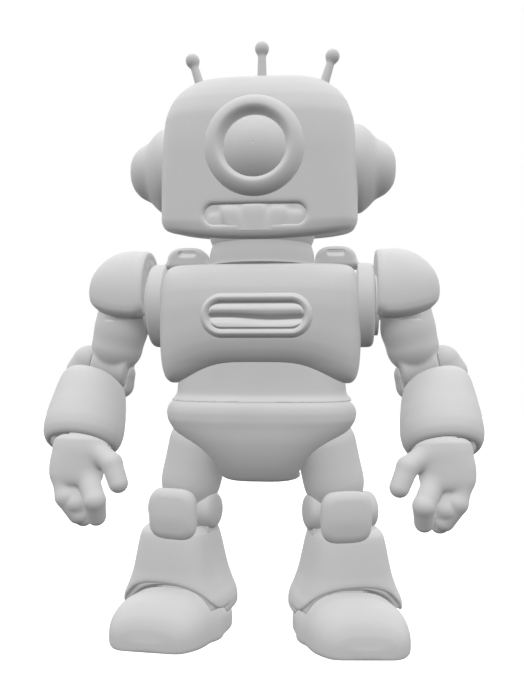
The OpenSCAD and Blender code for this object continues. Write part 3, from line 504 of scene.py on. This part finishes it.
def make_teeth():
    """Uneven soft teeth: middle, half width, top, lean and depth of each, on a plate that fills the mouth."""
    teeth = [(-21.5, 4.5, 0.5, 0.1, 1.8), (-13.0, 5.8, 4.6, -0.3, 3.0), (-0.4, 7.8, 6.2, -0.05, 3.4),
             (12.0, 5.0, 4.2, 0.2, 3.0), (20.5, 5.6, 1.8, 0.1, 2.4)]
    front = teeth_low[1] - MID_Y

    def field(x, y, z):
        w = z - MOUTH_Z
        d = np.maximum(stadium(x, w, MOUTH_W + 3, MOUTH_H + 3), np.abs(y - MOUTH_FLOOR - 0.6) - 1)
        for middle, half, top, lean, depth in teeth:
            u = (x - middle - lean * w) / half
            v = (w + 7) / (top + 7)
            bulk = (u ** 4 + np.abs(v) ** 5 + (np.maximum(MOUTH_FLOOR - y, 0) / depth) ** 2 + 1e-9) ** 0.25
            d = join(d, np.maximum((bulk - 1) * 3.2, y - MOUTH_FLOOR - 1), 2.2)
        return d

    shape = surface(evened(field), (-32, front - 1, MOUTH_Z - 8), (32, MOUTH_FLOOR + 2, MOUTH_Z + 8), 0.4)
    piece("teeth_row", shape, "head", "shell_plastic", "teeth")


def make_antennas():
    leans = (-17, 0, 17)
    feet = ((-35.5, -5.5), (0, -0.5), (35.5, -5.5))
    tip = limb((0, 0, 22.4), (0, 0, 22.6), 4.2, 4.2)
    stalk = limb((0, 0, -6), (0, 0, 21), 3.2, 2.3)

    def foot(x, y, z):
        return np.sqrt(x * x + y * y + ((z + 0.5) * 1.2) ** 2) - 4.2

    def field(x, y, z):
        return join(join(stalk(x, y, z), foot(x, y, z), 3.4), tip(x, y, z), 2.4)

    shape = surface(field, (-4.6, -4.6, -9), (4.6, 4.6, 26.9), 0.4)
    trio = [placed(shape, turned((x, 0, HEAD_TOP + z), (lean, "Y"))) for lean, (x, z) in zip(leans, feet)]
    count = len(shape[0])
    points = np.vstack([p for p, _ in trio])
    faces = np.vstack([q.astype(int) + i * count for i, (_, q) in enumerate(trio)])
    piece("antenna_trio", (points, faces), "head", "shell_plastic", "antennas")


# ---------- neck and torso ----------
def make_neck():
    base = CHEST_TOP + 0.5
    flare = softened([(31.6, 0), (31.3, 1.2), (31.3, 4), (31.1, 8), (29.5, 12.5)], 2)
    start = math.asin((base + 12.8 - NOD_Z) / NECK_BALL_R)
    arc = np.linspace(start, math.asin(12 / NECK_BALL_R), 16)
    dome = [(NECK_BALL_R * math.cos(t), NOD_Z - base + NECK_BALL_R * math.sin(t)) for t in arc]
    outline = np.vstack([flare, dome, [(24, 37), (24, 3.5), (0, 3.5), (0, 0)]])
    piece("neck_collar", spun(outline, "Z", (0, 0, base)), "neck", "shell_plastic", "neck_column")


def make_chest():
    a, b, h = CHEST_A, CHEST_B, CHEST_TOP - CHEST_BASE
    stations = [
        (0, a - 8.4, b - 13.2), (2, a - 5, b - 9.4), (6, a - 2.4, b - 5.8), (12, a - 1, b - 3),
        (20, a - .3, b - 1.1), (30, a, b - .2), (42, a, b), (54, a - .5, b - 1), (60, a - 1.2, b - 2.4),
        (65, a - 2.2, b - 4.8), (69, a - 4, b - 8.4), (h, a - 6.5, b - 12.5),
    ]
    stations = [(CHEST_BASE + t, p, q) for t, p, q in stations]
    outer = upright(stations, 4.4, low=1.6, high=3)
    hollow = [(CHEST_BASE + 3.4, a - 9, b - 13)] + [(t, p - WALL, q - WALL) for t, p, q in stations[2:-2]]
    inner = upright(hollow, 4.4, low=0.5, high=8)
    arch_rise, arch_half, arch_low, arch_high = 14.6, 44, 161, 207

    def arched(x, z):
        """Height with the lower edge's arch taken out."""
        rise = arch_rise * np.exp(-(x / arch_half) ** 4)
        return z - rise * np.clip((arch_high - z) / (arch_high - arch_low), 0, 1)

    def walls(x, y, z):
        level = arched(x, z)
        return carve(outer(x, y, level), inner(x, y, level), 1.2)

    cup = evened(walls)

    def field(x, y, z):
        d = cup(x, y, z)
        for s in (-1, 1):
            for px in (-CHEST_SCREW_X, CHEST_SCREW_X):
                pz = CHEST_SCREW_Z + s * CHEST_SCREW_RISE
                d = carve(d, np.maximum(np.hypot(x - px, z - pz) - SCREW_HOLE_R, b - 5 - y), 0.8)
        vent = np.maximum(stadium(x, z - GRILLE_Z, 58, 20), y + b - 4)
        return carve(d, vent, 0.8)

    shape = surface(field, (-a, -b, CHEST_BASE), (a, b, CHEST_TOP), 0.9)
    piece("chest_shell", shape, "torso", "shell_plastic", "chest_front", "chest_back")


def make_grille():
    front = grille_low[1] - MID_Y
    back = grille_high[1] - MID_Y
    most = back - front
    across = [(-12.6, 0), (-11.2, .40), (-9.4, .74), (-7.2, .92), (-5.2, .80), (-3.4, .38), (-1.9, .02),
              (-0.6, .30), (1.2, .80), (3.0, .95), (4.8, .74), (6.2, .14), (7.0, .02), (7.8, .22),
              (9.2, .80), (10.4, .97), (11.6, .78), (12.7, 0)]
    from_edge = [(-1, 0), (0, .1), (1.2, .66), (2.6, .97), (4.2, .80), (5.6, .16), (6.4, .02), (40, 0)]
    w_at, w_rise = smooth_steps(across)
    s_at, s_rise = smooth_steps(from_edge, 900)

    def field(x, y, z):
        w = z - GRILLE_Z
        rim = stadium(x, w, 63, 25)
        slant = 0.55 * np.sin(x / 7.5 + 0.6) + x * 0.022
        near = np.clip(1 - np.abs(w + 1.9) / 6, 0, 1)
        bars = np.interp(w + slant * near, w_at, w_rise) * np.clip((-rim - 3.6) / 2.4, 0, 1)
        ring = np.interp(-rim, s_at, s_rise)
        top = back - most * np.maximum(bars, ring) * 0.98
        skin = np.maximum((top - y) * 0.75, y - back - 0.8)
        return meet(skin, rim, 0.8)

    shape = surface(evened(field), (-32, front, GRILLE_Z - 13), (32, back + 1, GRILLE_Z + 13), 0.42)
    piece("vent_grille", shape, "torso", "shell_plastic", "chest_grille")


def make_loops():
    low, high = box_of("shoulder_loops")
    centre_x, half, depth = high[0] - 11.5, 12.4, (high[1] - low[1]) / 2
    top = high[2] - CHEST_TOP + 1.0

    def field(x, y, z):
        u, w = x - centre_x, z - CHEST_TOP
        skirt = half + 3.4 * np.clip(1 - w / 5, 0, 1) ** 2
        arch = np.maximum(superellipse(u, w, skirt, top, 3.0), -w - 1)
        bulk = slab(arch, y, depth, 3.0)
        slot = np.maximum(stadium(u, w - 7.6 - 0.25 * (y + depth), 10.6, 3.4), y - depth + 4)
        return carve(bulk, slot, 0.8)

    loop = surface(field, (centre_x - half - 4, -depth, CHEST_TOP - 1),
                   (centre_x + half + 4, depth, CHEST_TOP + top), 0.5)
    piece("strap_loops", mirrored(loop), "torso", "shell_plastic", "shoulder_loops")


def make_sockets():
    seat = SOCKET_HIGH[0] - 9.5
    outline = softened([(14, 8.0), (16, 8.6), (18.6, 9.2), (21, 9.5), (23.6, 9.2), (24.8, 7.6), (25, 5),
                        (25, 0)], 2)
    outline = np.vstack([[(6.2, 7.6)], outline, [(6.2, 0)]])
    ring = spun(outline, "X", (seat, 0, SHOULDER[2]))
    piece("arm_sockets", mirrored(ring), "torso", "shell_plastic", "arm_socket_rings")


def make_waist():
    base = WAIST_SEAM_Z
    belly = upright([(base - 0.3, 53.2, 31.4), (base + 0.6, 52.9, 31.1), (base + 2, 51.6, 29.9),
                     (base + 3.6, 50.6, 28.9), (base + 5.6, 50.1, 28.5), (base + 9, 49.8, 28.2),
                     (base + 16, 49, 27.8), (base + 36, 46, 27)], 3, low=0.1, high=3)
    piece("belly", surface(belly, (-56, -34, base - 0.3), (56, 34, base + 36), 0.8), "torso", "shell_plastic",
          "belly_shell")

    stations = [(92, 19.5, 18), (93.5, 22.5, 20.5), (98, 27, 24.4), (104, 32.5, 28), (111, 40, 30.8),
                (118, 48, 32.6), (124, 53.4, 33.4), (129, 55.8, 34), (132, 56, 34), (134.6, 55.6, 33.6),
                (136.6, 54.8, 32.9), (138, 53.8, 31.9), (138.98, 53.0, 31.2)]
    hull = upright(stations, 3, low=3.2, high=0.12)
    swing = (-31, 46)
    back, ahead = (np.array([-math.sin(math.radians(t)), -math.cos(math.radians(t))]) for t in swing)

    def swing_room(x, y, z):
        """Room that a round limb sweeps about the hip, in the leg's frame."""
        inside = (back[0] * z - back[1] * y >= 0) & (ahead[0] * z - ahead[1] * y <= 0)
        rays = []
        for e in (back, ahead):
            t = np.maximum(y * e[0] + z * e[1], 0)
            rays.append(np.hypot(y - t * e[0], z - t * e[1]))
        away = np.where(inside, 0, np.minimum(rays[0], rays[1]))
        return np.hypot(x, away) - THIGH_R - 0.7

    room = moved(swing_room, AT_HIP)

    def pelvis(x, y, z):
        d = hull(x, y, z)
        d = carve(d, np.maximum(superellipse(x, y, 43, 24, 3), 124 - z), 1.0)
        return carve(carve(d, room(x, y, z), 2.2), room(-x, y, z), 2.2)

    piece("pelvis_brief", surface(pelvis, (-56, -34, 92), (56, 34, 139), 0.8), "pelvis", "shell_plastic",
          "pelvis_shell", "belt_ring")


# ---------- arms ----------
def make_pauldron():
    inner_x, foot_z = 67.5, 187.0
    crown_x, sx, inward, sy, sz = 78.0, 26.5, 36.0, 27.5, 41.2
    n_out, n_in = 2.1, 2.15

    def foot_at(x):
        """The lower edge dips a little way out from the inner side, then climbs."""
        u = x - inner_x - 7
        return foot_z + np.where(u > 0, 0.0092 * u * u, 0.045 * u * u)

    def bulge(x, y, z):
        u = np.where(x > crown_x, (x - crown_x) / sx, (crown_x - x) / inward)
        v = np.maximum(np.abs(y) / sy, 1e-3)
        waist = foot_at(x) + 7.5
        w = np.where(z > waist, (z - waist) / (foot_z + sz - waist), (waist - z) / 11.5)
        round_r = (v ** n_in + w ** n_in) ** (1 / n_in)
        return ((u ** n_out + round_r ** n_out) ** (1 / n_out) - 1) * sy

    skin = evened(bulge)

    def field(x, y, z):
        d = skin(x, y, z)
        wall = np.abs(d + WALL / 2) - WALL / 2
        below = (foot_at(x) - z) * 0.96
        under = np.hypot(d + 2.3, below + 2.6) - 2.6
        side = np.hypot(d + 1.9, x - inner_x - 2.2) - 2.2
        d = meet(wall, np.maximum(below, inner_x - x), 0.8)
        under = np.maximum(under, inner_x - x)
        side = np.maximum(side, below)
        hub = 16.0 - np.hypot(y - SHOULDER[1], z - SHOULDER[2])
        plate = np.maximum(skin(x, y, z), x - inner_x - 1.6)
        cheek = np.maximum(np.maximum(plate, hub), np.maximum(below, inner_x - x))
        return join(join(join(d, under, 2.2), side, 2.0), cheek, 0.8)

    shape = surface(field, (inner_x, -sy - 1, foot_z - 1), (crown_x + sx + 1, sy + 1, foot_z + sz + 1), 0.7)
    pair("pauldron_cap", shape, "shoulder", "shell_plastic", "pauldron")


def make_upper_arm():
    top = SHOULDER
    arm = limb(top, top + (ELBOW - top) * 0.66, 15.0, 15.4)
    biceps = ball((ELBOW[0] - 5.6, (top[1] + ELBOW[1]) / 2, 181), 15.8)
    knuckle = moved(lambda x, y, z: slab(np.hypot(y, z) - 12.2, x - 0.8, 11.0, 2.6), AT_ELBOW)

    def field(x, y, z):
        d = join(join(arm(x, y, z), biceps(x, y, z), 3.0), knuckle(x, y, z), 2.5)
        for s in (-1, 1):
            flat = np.maximum(12.7 - s * y, -(z - SHOULDER[2] + 9))
            d = carve(d, flat, 1.0)
        return d

    shape = surface(field, (66, -18, ELBOW[2] - 15), (112, 20, top[2] + 15), 0.75)
    pair("arm_sleeve", shape, "upper_arm", "shell_plastic", "upper_arm")


def make_collar():
    outer_ball = limb((15.4, 0, -0.5), (17.5, 0, -7), 10.6, 11.2)
    inner_ball = limb((-6.6, 0, -3), (-6.4, 0, -10), 7.4, 7.8)
    saddle = limb((15, 4, -9.5), (-4.5, 4, -11), 9.6, 7.6)

    def local(x, y, z):
        d = join(join(outer_ball(x, y, z), inner_ball(x, y, z), 3.0), saddle(x, y, z), 5.0)
        knuckle_room = slab(np.hypot(y, z) - 12.6, x - 0.8, 11.4, 2.6)
        return carve(d, knuckle_room, 0.7)

    ring = moved(lambda x, y, z: slab(np.abs(np.hypot(x, y) - 15.7) - 1.7, z + 19, 3, 1), AT_CUFF)
    local = moved(local, AT_ELBOW)

    def field(x, y, z):
        return join(local(x, y, z), ring(x, y, z), 1.0)

    shape = surface(field, (68, -26, 126), (122, 26, 172), 0.65)
    pair("elbow_yoke", shape, "forearm", "joint_plastic", "elbow_collar")


def make_cuff():
    outline = [(6.5, 14.6), (7.5, 16.6), (9.5, 18.3), (13, 19.8), (19, 21.0), (26, 22.0), (33, 22.9),
               (41, 23.3), (46, 22.7), (50, 21.0), (53, 18.0)]
    stations = [(-t, r, r) for t, r in reversed(outline)]
    outer = upright(stations, 2, low=4.2, high=2.0)
    bore = [(-42, 14), (-40, 18.6), (-34, 20.4), (-26, 19.6), (-19, 18.5), (-13, 17), (-9.5, 15.2),
            (-6, 12.6), (4, 12)]
    inner = upright([(t, r, r) for t, r in bore], 2, low=3, high=1)
    mouth = upright([(-60, 17.4, 17.4), (-46, 17.0, 17.0)], 2, low=1, high=4)
    elbow_here = AT_CUFF.inverted() @ Vector(ELBOW)
    room = ball(elbow_here, 14.2)

    def field(x, y, z):
        z = z - 0.17 * x * np.clip((z + 34) / 24, 0, 1)
        d = carve(outer(x, y, z), inner(x, y, z), 1.2)
        d = carve(d, mouth(x, y, z), 3.4)
        d = carve(d, np.hypot(x, y) - 8.1, 0.6)
        return carve(d, room(x, y, z), 1.0)

    shape = surface(evened(field), (-25, -25, -53), (25, 25, 1.5), 0.75)
    pair("forearm_barrel", placed(shape, AT_CUFF), "forearm", "shell_plastic", "forearm_cuff")


def make_hand():
    palm = upright([(-22, 13, 9.8), (-15, 15.4, 11.2), (-8, 16, 11.8), (-1, 16, 12.2), (4, 15.2, 11.8),
                    (7.5, 12, 9)], 2.3, low=6, high=4)
    palm_x = smooth_steps([(-22, 0.8), (-15, 1.2), (-8, 0.8), (-1, 0), (7.5, 0)])
    fingers = [
        ((8, -2, -17), (4.8, -4, -28), (-1.8, 0, -37.6)),
        ((1.5, -1, -20), (-0.5, -3, -31), (-4, 4, -39)),
        ((-7, -4, -17), (-13.5, -8.5, -29), (-13, -1, -38)),
    ]
    thumb = ((-11, -4, -2), (-21, -7, -8), (-26, -8, -19))

    def digit(bones, r):
        a, b, c = bones
        upper, lower = limb(a, b, r + 0.3, r), limb(b, c, r, r - 0.5)
        return lambda x, y, z: join(upper(x, y, z), lower(x, y, z), 1.8)

    digits = [digit(f, 6.0) for f in fingers]
    thumb_field = digit(thumb, 6.0)
    spigot = limb((0, 0, 2), (0, 0, 8), 7.8, 7.8)
    back = Matrix.Rotation(math.radians(-HAND_DROOP), 4, "X")
    spigot = moved(spigot, back)

    def field(x, y, z):
        d = palm(x - np.interp(z, palm_x[0], palm_x[1]), y, z)
        d = join(d, thumb_field(x, y, z), 4.5)
        hand = digits[0](x, y, z)
        for other in digits[1:]:
            hand = join(hand, other(x, y, z), 1.0)
        return join(join(d, hand, 3.4), spigot(x, y, z), 2)

    shape = surface(field, (-33, -17, -46), (22, 15, 17), 0.6)
    pair("grip_hand", placed(shape, AT_HAND), "hand", "shell_plastic", "hand")


# ---------- legs ----------
def make_thigh():
    knee = np.array(AT_HIP.inverted() @ Vector(KNEE))
    sleeve = limb((0, 0, 0), tuple(0.56 * knee), THIGH_R, THIGH_R - 0.4)
    shank = limb(tuple(0.5 * knee), tuple(knee), 16.4, 13.6)
    at_knee = Matrix.Translation(Vector(knee))
    knuckle = moved(lambda x, y, z: slab(np.hypot(y, z) - 12.8, x, 12, 2.4), at_knee)

    def field(x, y, z):
        d = join(sleeve(x, y, z), shank(x, y, z), 4)
        return join(d, knuckle(x, y, z), 2)

    shape = surface(field, (-19, -19, -53), (29, 19, 19), 0.75)
    pair("thigh_sleeve", placed(shape, AT_HIP), "thigh", "shell_plastic", "thigh")


def make_knee():
    shift = -3.0

    def pad(x, y, z):
        bulge = (x - shift) ** 2 * 0.006 + z * z * np.where(z < 0, 0.018, 0.009)
        across = y + 22.2 - bulge * np.clip(-(y + 22.2) / 5.2, 0, 1)
        return slab(superellipse(x - shift, z, 14.9, 14.6, 3.6), across, 5.2, 4.9)

    shape = surface(pad, (-18.5, -27.8, -15), (12.5, -14, 15), 0.55)
    pair("knee_cushion", placed(shape, AT_KNEE), "shin", "shell_plastic", "knee_pad")

    cap = softened([(0, 4.0), (4, 3.8), (8.4, 2.6), (10.6, 0.6), (11, -1.5), (11, -6)], 2)
    button = spun(np.vstack([cap, [(0, -6)]]), "X", (18.6, 0, -1), 96)
    pair("knee_button", placed(mirrored(button), AT_KNEE), "shin", "joint_plastic")


# depth from toe to heel, half width, height
SHOE = [(-43, 8, 8), (-42, 17, 14.5), (-38.5, 22.8, 21.5), (-32, 26.7, 27.2), (-24, 28, 29.4),
        (-17, 27.6, 29.4), (-11, 26.4, 27.5), (-5, 25, 21.5), (4, 24.6, 19), (14, 24.8, 18),
        (21, 23.2, 16), (26, 18.7, 12), (28.5, 9, 8)]
SHOE_AT = smooth_steps(SHOE)


def skewed(x, y):
    """Toe cap turned a little inward, with the waist wider on the inner side."""
    y = y + 0.2 * x * np.clip(-y / 30, 0, 1)
    wider = 1 + 0.22 * np.clip(-x / 8, 0, 1) * np.exp(-((y + 1) / 16) ** 4)
    return x / wider, y


def shoe_shape(x, y, z):
    """Shoe upper: a domed toe cap in front of a lower, boxier waist and heel."""
    y_at, a_at, h_at = SHOE_AT
    split = 6.0
    x, y = skewed(x, y)
    a, h = np.interp(y, y_at, a_at), np.interp(y, y_at, h_at)
    n = 2.5 + 1.2 * np.clip((y + 16) / 14, 0, 1)
    top = superellipse(x, np.maximum(z - split, 0), a, np.maximum(h - split, 3), n)
    side = meet(top, 0.6 - z, 5.0)
    return meet(meet(side, y_at[0] - y, 4), y - y_at[-1], 4)


shoe_form = evened(shoe_shape)


def make_shin():
    """Bell with a thick rounded rim, an arch in front over the toe cap, and a core that fills it."""
    stations = [(12.6, 30, 24.5), (17, 32, 26.2), (20, 32, 26.4), (24, 31.2, 26.4), (30, 28.6, 25.6),
                (38, 25.8, 24.3), (47, 23.8, 23), (56, 22, 21.5), (61, 20.6, 20.2), (65, 17.4, 17)]
    z_at, a_at, b_at = smooth_steps(stations)
    lean = 1 / np.hypot(1, np.gradient((a_at + b_at) / 2, z_at))
    low, high = z_at[0], z_at[-1]

    def field(x, y, z):
        a, b = np.interp(z, z_at, a_at), np.interp(z, z_at, b_at)
        shift = np.interp(z, (low, 40, high), (0, 0, -1))
        skin = superellipse(x, y - shift, a, b, 3.4) * np.interp(z, z_at, lean)
        spread = np.where(x < 0, 33.3, 31.0)
        floor = low + 4.4 * np.clip((x + 26) / 26, 0, 1)
        arch = -superellipse(x / spread * 31, np.maximum(z, 0.01), 31.0, 33.6, 2.6)
        cut = np.maximum(floor - z, np.where(y < 0, arch, -50.0))
        thick = WALL + 3.6 * np.clip((42 - z) / 15, 0, 1)
        wall = np.abs(skin + thick / 2) - thick / 2
        d = meet(meet(wall, cut, 4.6), z - high, 3.0)
        lid = slab(skin + 1.5, z - high + 2.2, 2.0, 1.8)
        core = np.maximum(np.maximum(skin + 2.0, 19 - z), np.maximum(-17 - y, z - 46))
        post = np.maximum(np.maximum(np.abs(x) - 10.6, np.abs(y) - 11), z - 36)
        return join(join(d, lid, 1.2), carve(core, post, 0.8), 2.0)

    room = moved(lambda x, y, z: slab(np.hypot(y, z) - 13.6, x, 12.8, 2.4),
                 AT_FOOT.inverted() @ AT_KNEE)
    knee = AT_FOOT.inverted() @ Vector(KNEE)
    up = AT_FOOT.inverted() @ Vector(HIP) - knee
    ankle = Matrix.Translation((0, 0, ANKLE[2]))
    knee_angles, ankle_angles = (40, 60), (-4, 4)
    folded = [limb(knee, knee + Matrix.Rotation(math.radians(-t), 3, "X") @ (0.62 * up), 15.4, 19.6)
              for t in knee_angles]
    rocked = [moved(shoe_form, ankle @ Matrix.Rotation(math.radians(t), 4, "X") @ ankle.inverted())
              for t in ankle_angles]

    def shell(x, y, z):
        d = carve(field(x, y, z), room(x, y, z), 1.0)
        for leg in folded:
            d = carve(d, leg(x, y, z) - 0.3, 0.8)
        for shoe in rocked:
            d = carve(d, shoe(x, y, z) - 0.3, 1.2)
        return d

    shape = surface(shell, (-34.5, -28.5, low - 1), (34.5, 28.5, high), 0.75)
    pair("shin_bell", placed(shape, AT_FOOT), "shin", "shell_plastic", "shin_shell")


def make_shoe():
    y_at, a_at, _ = SHOE_AT

    def tread(x, y, z):
        x, y = skewed(x, y)
        side = np.abs(x) - np.interp(y, y_at, a_at) + 3.6
        return np.maximum(np.maximum(side, y_at[0] + 3.6 - y), y - y_at[-1] + 3.6)

    tread_side = evened(tread)

    def sole(x, y, z):
        return slab(tread_side(x, y, 0 * z), z - 2, 2, 1.2)

    ankle = moved(lambda x, y, z: slab(np.hypot(y, z) - 7, x, 9.3, 1.2), Matrix.Translation((0, 0, ANKLE[2])))

    def full(x, y, z):
        post = slab(np.maximum(np.abs(x) - 9.3, np.abs(y) - 7), z - 17, 9, 1.2)
        return join(join(shoe_form(x, y, z), ankle(x, y, z), 1.0), post, 1.0)

    pair("shoe_upper", placed(surface(full, (-32, -49, 0), (28.5, 28.5, 34), 0.75), AT_FOOT), "foot",
         "shell_plastic", "shoe")
    pair("shoe_sole", placed(surface(sole, (-32, -49, 0), (28.5, 28.5, 4), 0.75), AT_FOOT), "foot",
         "sole_rubber", "sole")


# ---------- stage, light and camera ----------
def make_stage():
    bpy.ops.mesh.primitive_plane_add(size=3.0, location=(0, 0, -0.0002))
    floor = bpy.context.object
    floor.name = "floor"
    material = bpy.data.materials.new("pale_floor")
    material.use_nodes = True
    inputs = material.node_tree.nodes["Principled BSDF"].inputs
    inputs["Base Color"].default_value = (0.93, 0.93, 0.93, 1)
    inputs["Roughness"].default_value = 0.9
    inputs["Specular IOR Level"].default_value = 0.1
    inputs["Emission Color"].default_value = (1, 1, 1, 1)
    inputs["Emission Strength"].default_value = 0.25
    floor.data.materials.append(material)
    floor.visible_diffuse = False
    floor.visible_glossy = False


def make_light():
    """Soft light that fades from above to below, with a white surround for the camera."""
    world = bpy.data.worlds.new("studio")
    bpy.context.scene.world = world
    world.use_nodes = True
    nodes, links = world.node_tree.nodes, world.node_tree.links
    nodes.clear()
    out = nodes.new("ShaderNodeOutputWorld")
    split = nodes.new("ShaderNodeSeparateXYZ")
    links.new(nodes.new("ShaderNodeTexCoord").outputs["Generated"], split.inputs[0])
    sky = nodes.new("ShaderNodeMapRange")
    sky.inputs["From Min"].default_value, sky.inputs["From Max"].default_value = -0.8, 1
    sky.inputs["To Min"].default_value, sky.inputs["To Max"].default_value = 0.0, 1.70
    links.new(split.outputs["Z"], sky.inputs["Value"])
    soft = nodes.new("ShaderNodeBackground")
    links.new(sky.outputs["Result"], soft.inputs["Strength"])
    plain = nodes.new("ShaderNodeBackground")
    plain.inputs["Strength"].default_value = 1.0
    for node in (soft, plain):
        node.inputs["Color"].default_value = (1, 1, 1, 1)
    mix = nodes.new("ShaderNodeMixShader")
    links.new(nodes.new("ShaderNodeLightPath").outputs["Is Camera Ray"], mix.inputs[0])
    links.new(soft.outputs[0], mix.inputs[1])
    links.new(plain.outputs[0], mix.inputs[2])
    links.new(mix.outputs[0], out.inputs["Surface"])
    bpy.context.scene.view_settings.view_transform = "Standard"


def make_camera():
    """Level camera in front, turned a little towards +x, at about half the robot's height."""
    reach, turn, eye_height = 450.0, math.radians(5), 168.4
    data = bpy.data.cameras.new("camera")
    data.lens = 38.6
    camera = bpy.data.objects.new("camera", data)
    bpy.context.scene.collection.objects.link(camera)
    place = Vector((reach * math.sin(turn), MID_Y - reach * math.cos(turn), eye_height)) * MM
    target = Vector((0, MID_Y, eye_height)) * MM
    camera.location = place
    camera.rotation_euler = (target - place).to_track_quat("-Z", "Y").to_euler()
    bpy.context.scene.camera = camera


# ---------- the rest of the CAD model keeps its shape and gets its material ----------
KEPT = {
    "servo_plastic": ["pelvis_servos", "torso_servos", "elbow_servo_left", "elbow_servo_right",
                      "knee_servo_left", "knee_servo_right"],
    "joint_plastic": ["shoulder_hub_left", "shoulder_hub_right", "shin_frame_left", "shin_frame_right",
                      "neck_socket"],
    "steel": ["nod_pin", "head_screws", "chest_screws", "shoulder_pin_left", "shoulder_pin_right",
              "leg_pins_left", "leg_pins_right"],
    "circuit_board": ["control_board"],
    "battery_wrap": ["battery_pack"],
    "speaker_cone": ["speaker"],
    "lens_plastic": ["eye_light"],
}


def dress_kept():
    for slot, names in KEPT.items():
        for name in names:
            mesh = frame["nodes"][name].data
            mesh.materials.clear()
            mesh.materials.append(MATERIALS[slot])


make_camera()
make_light()
make_stage()
dress_kept()
for make in (make_head, make_teeth, make_antennas, make_neck, make_chest, make_grille, make_loops,
             make_sockets, make_waist, make_pauldron, make_upper_arm, make_collar, make_cuff, make_hand,
             make_thigh, make_knee, make_shin, make_shoe):
    make()
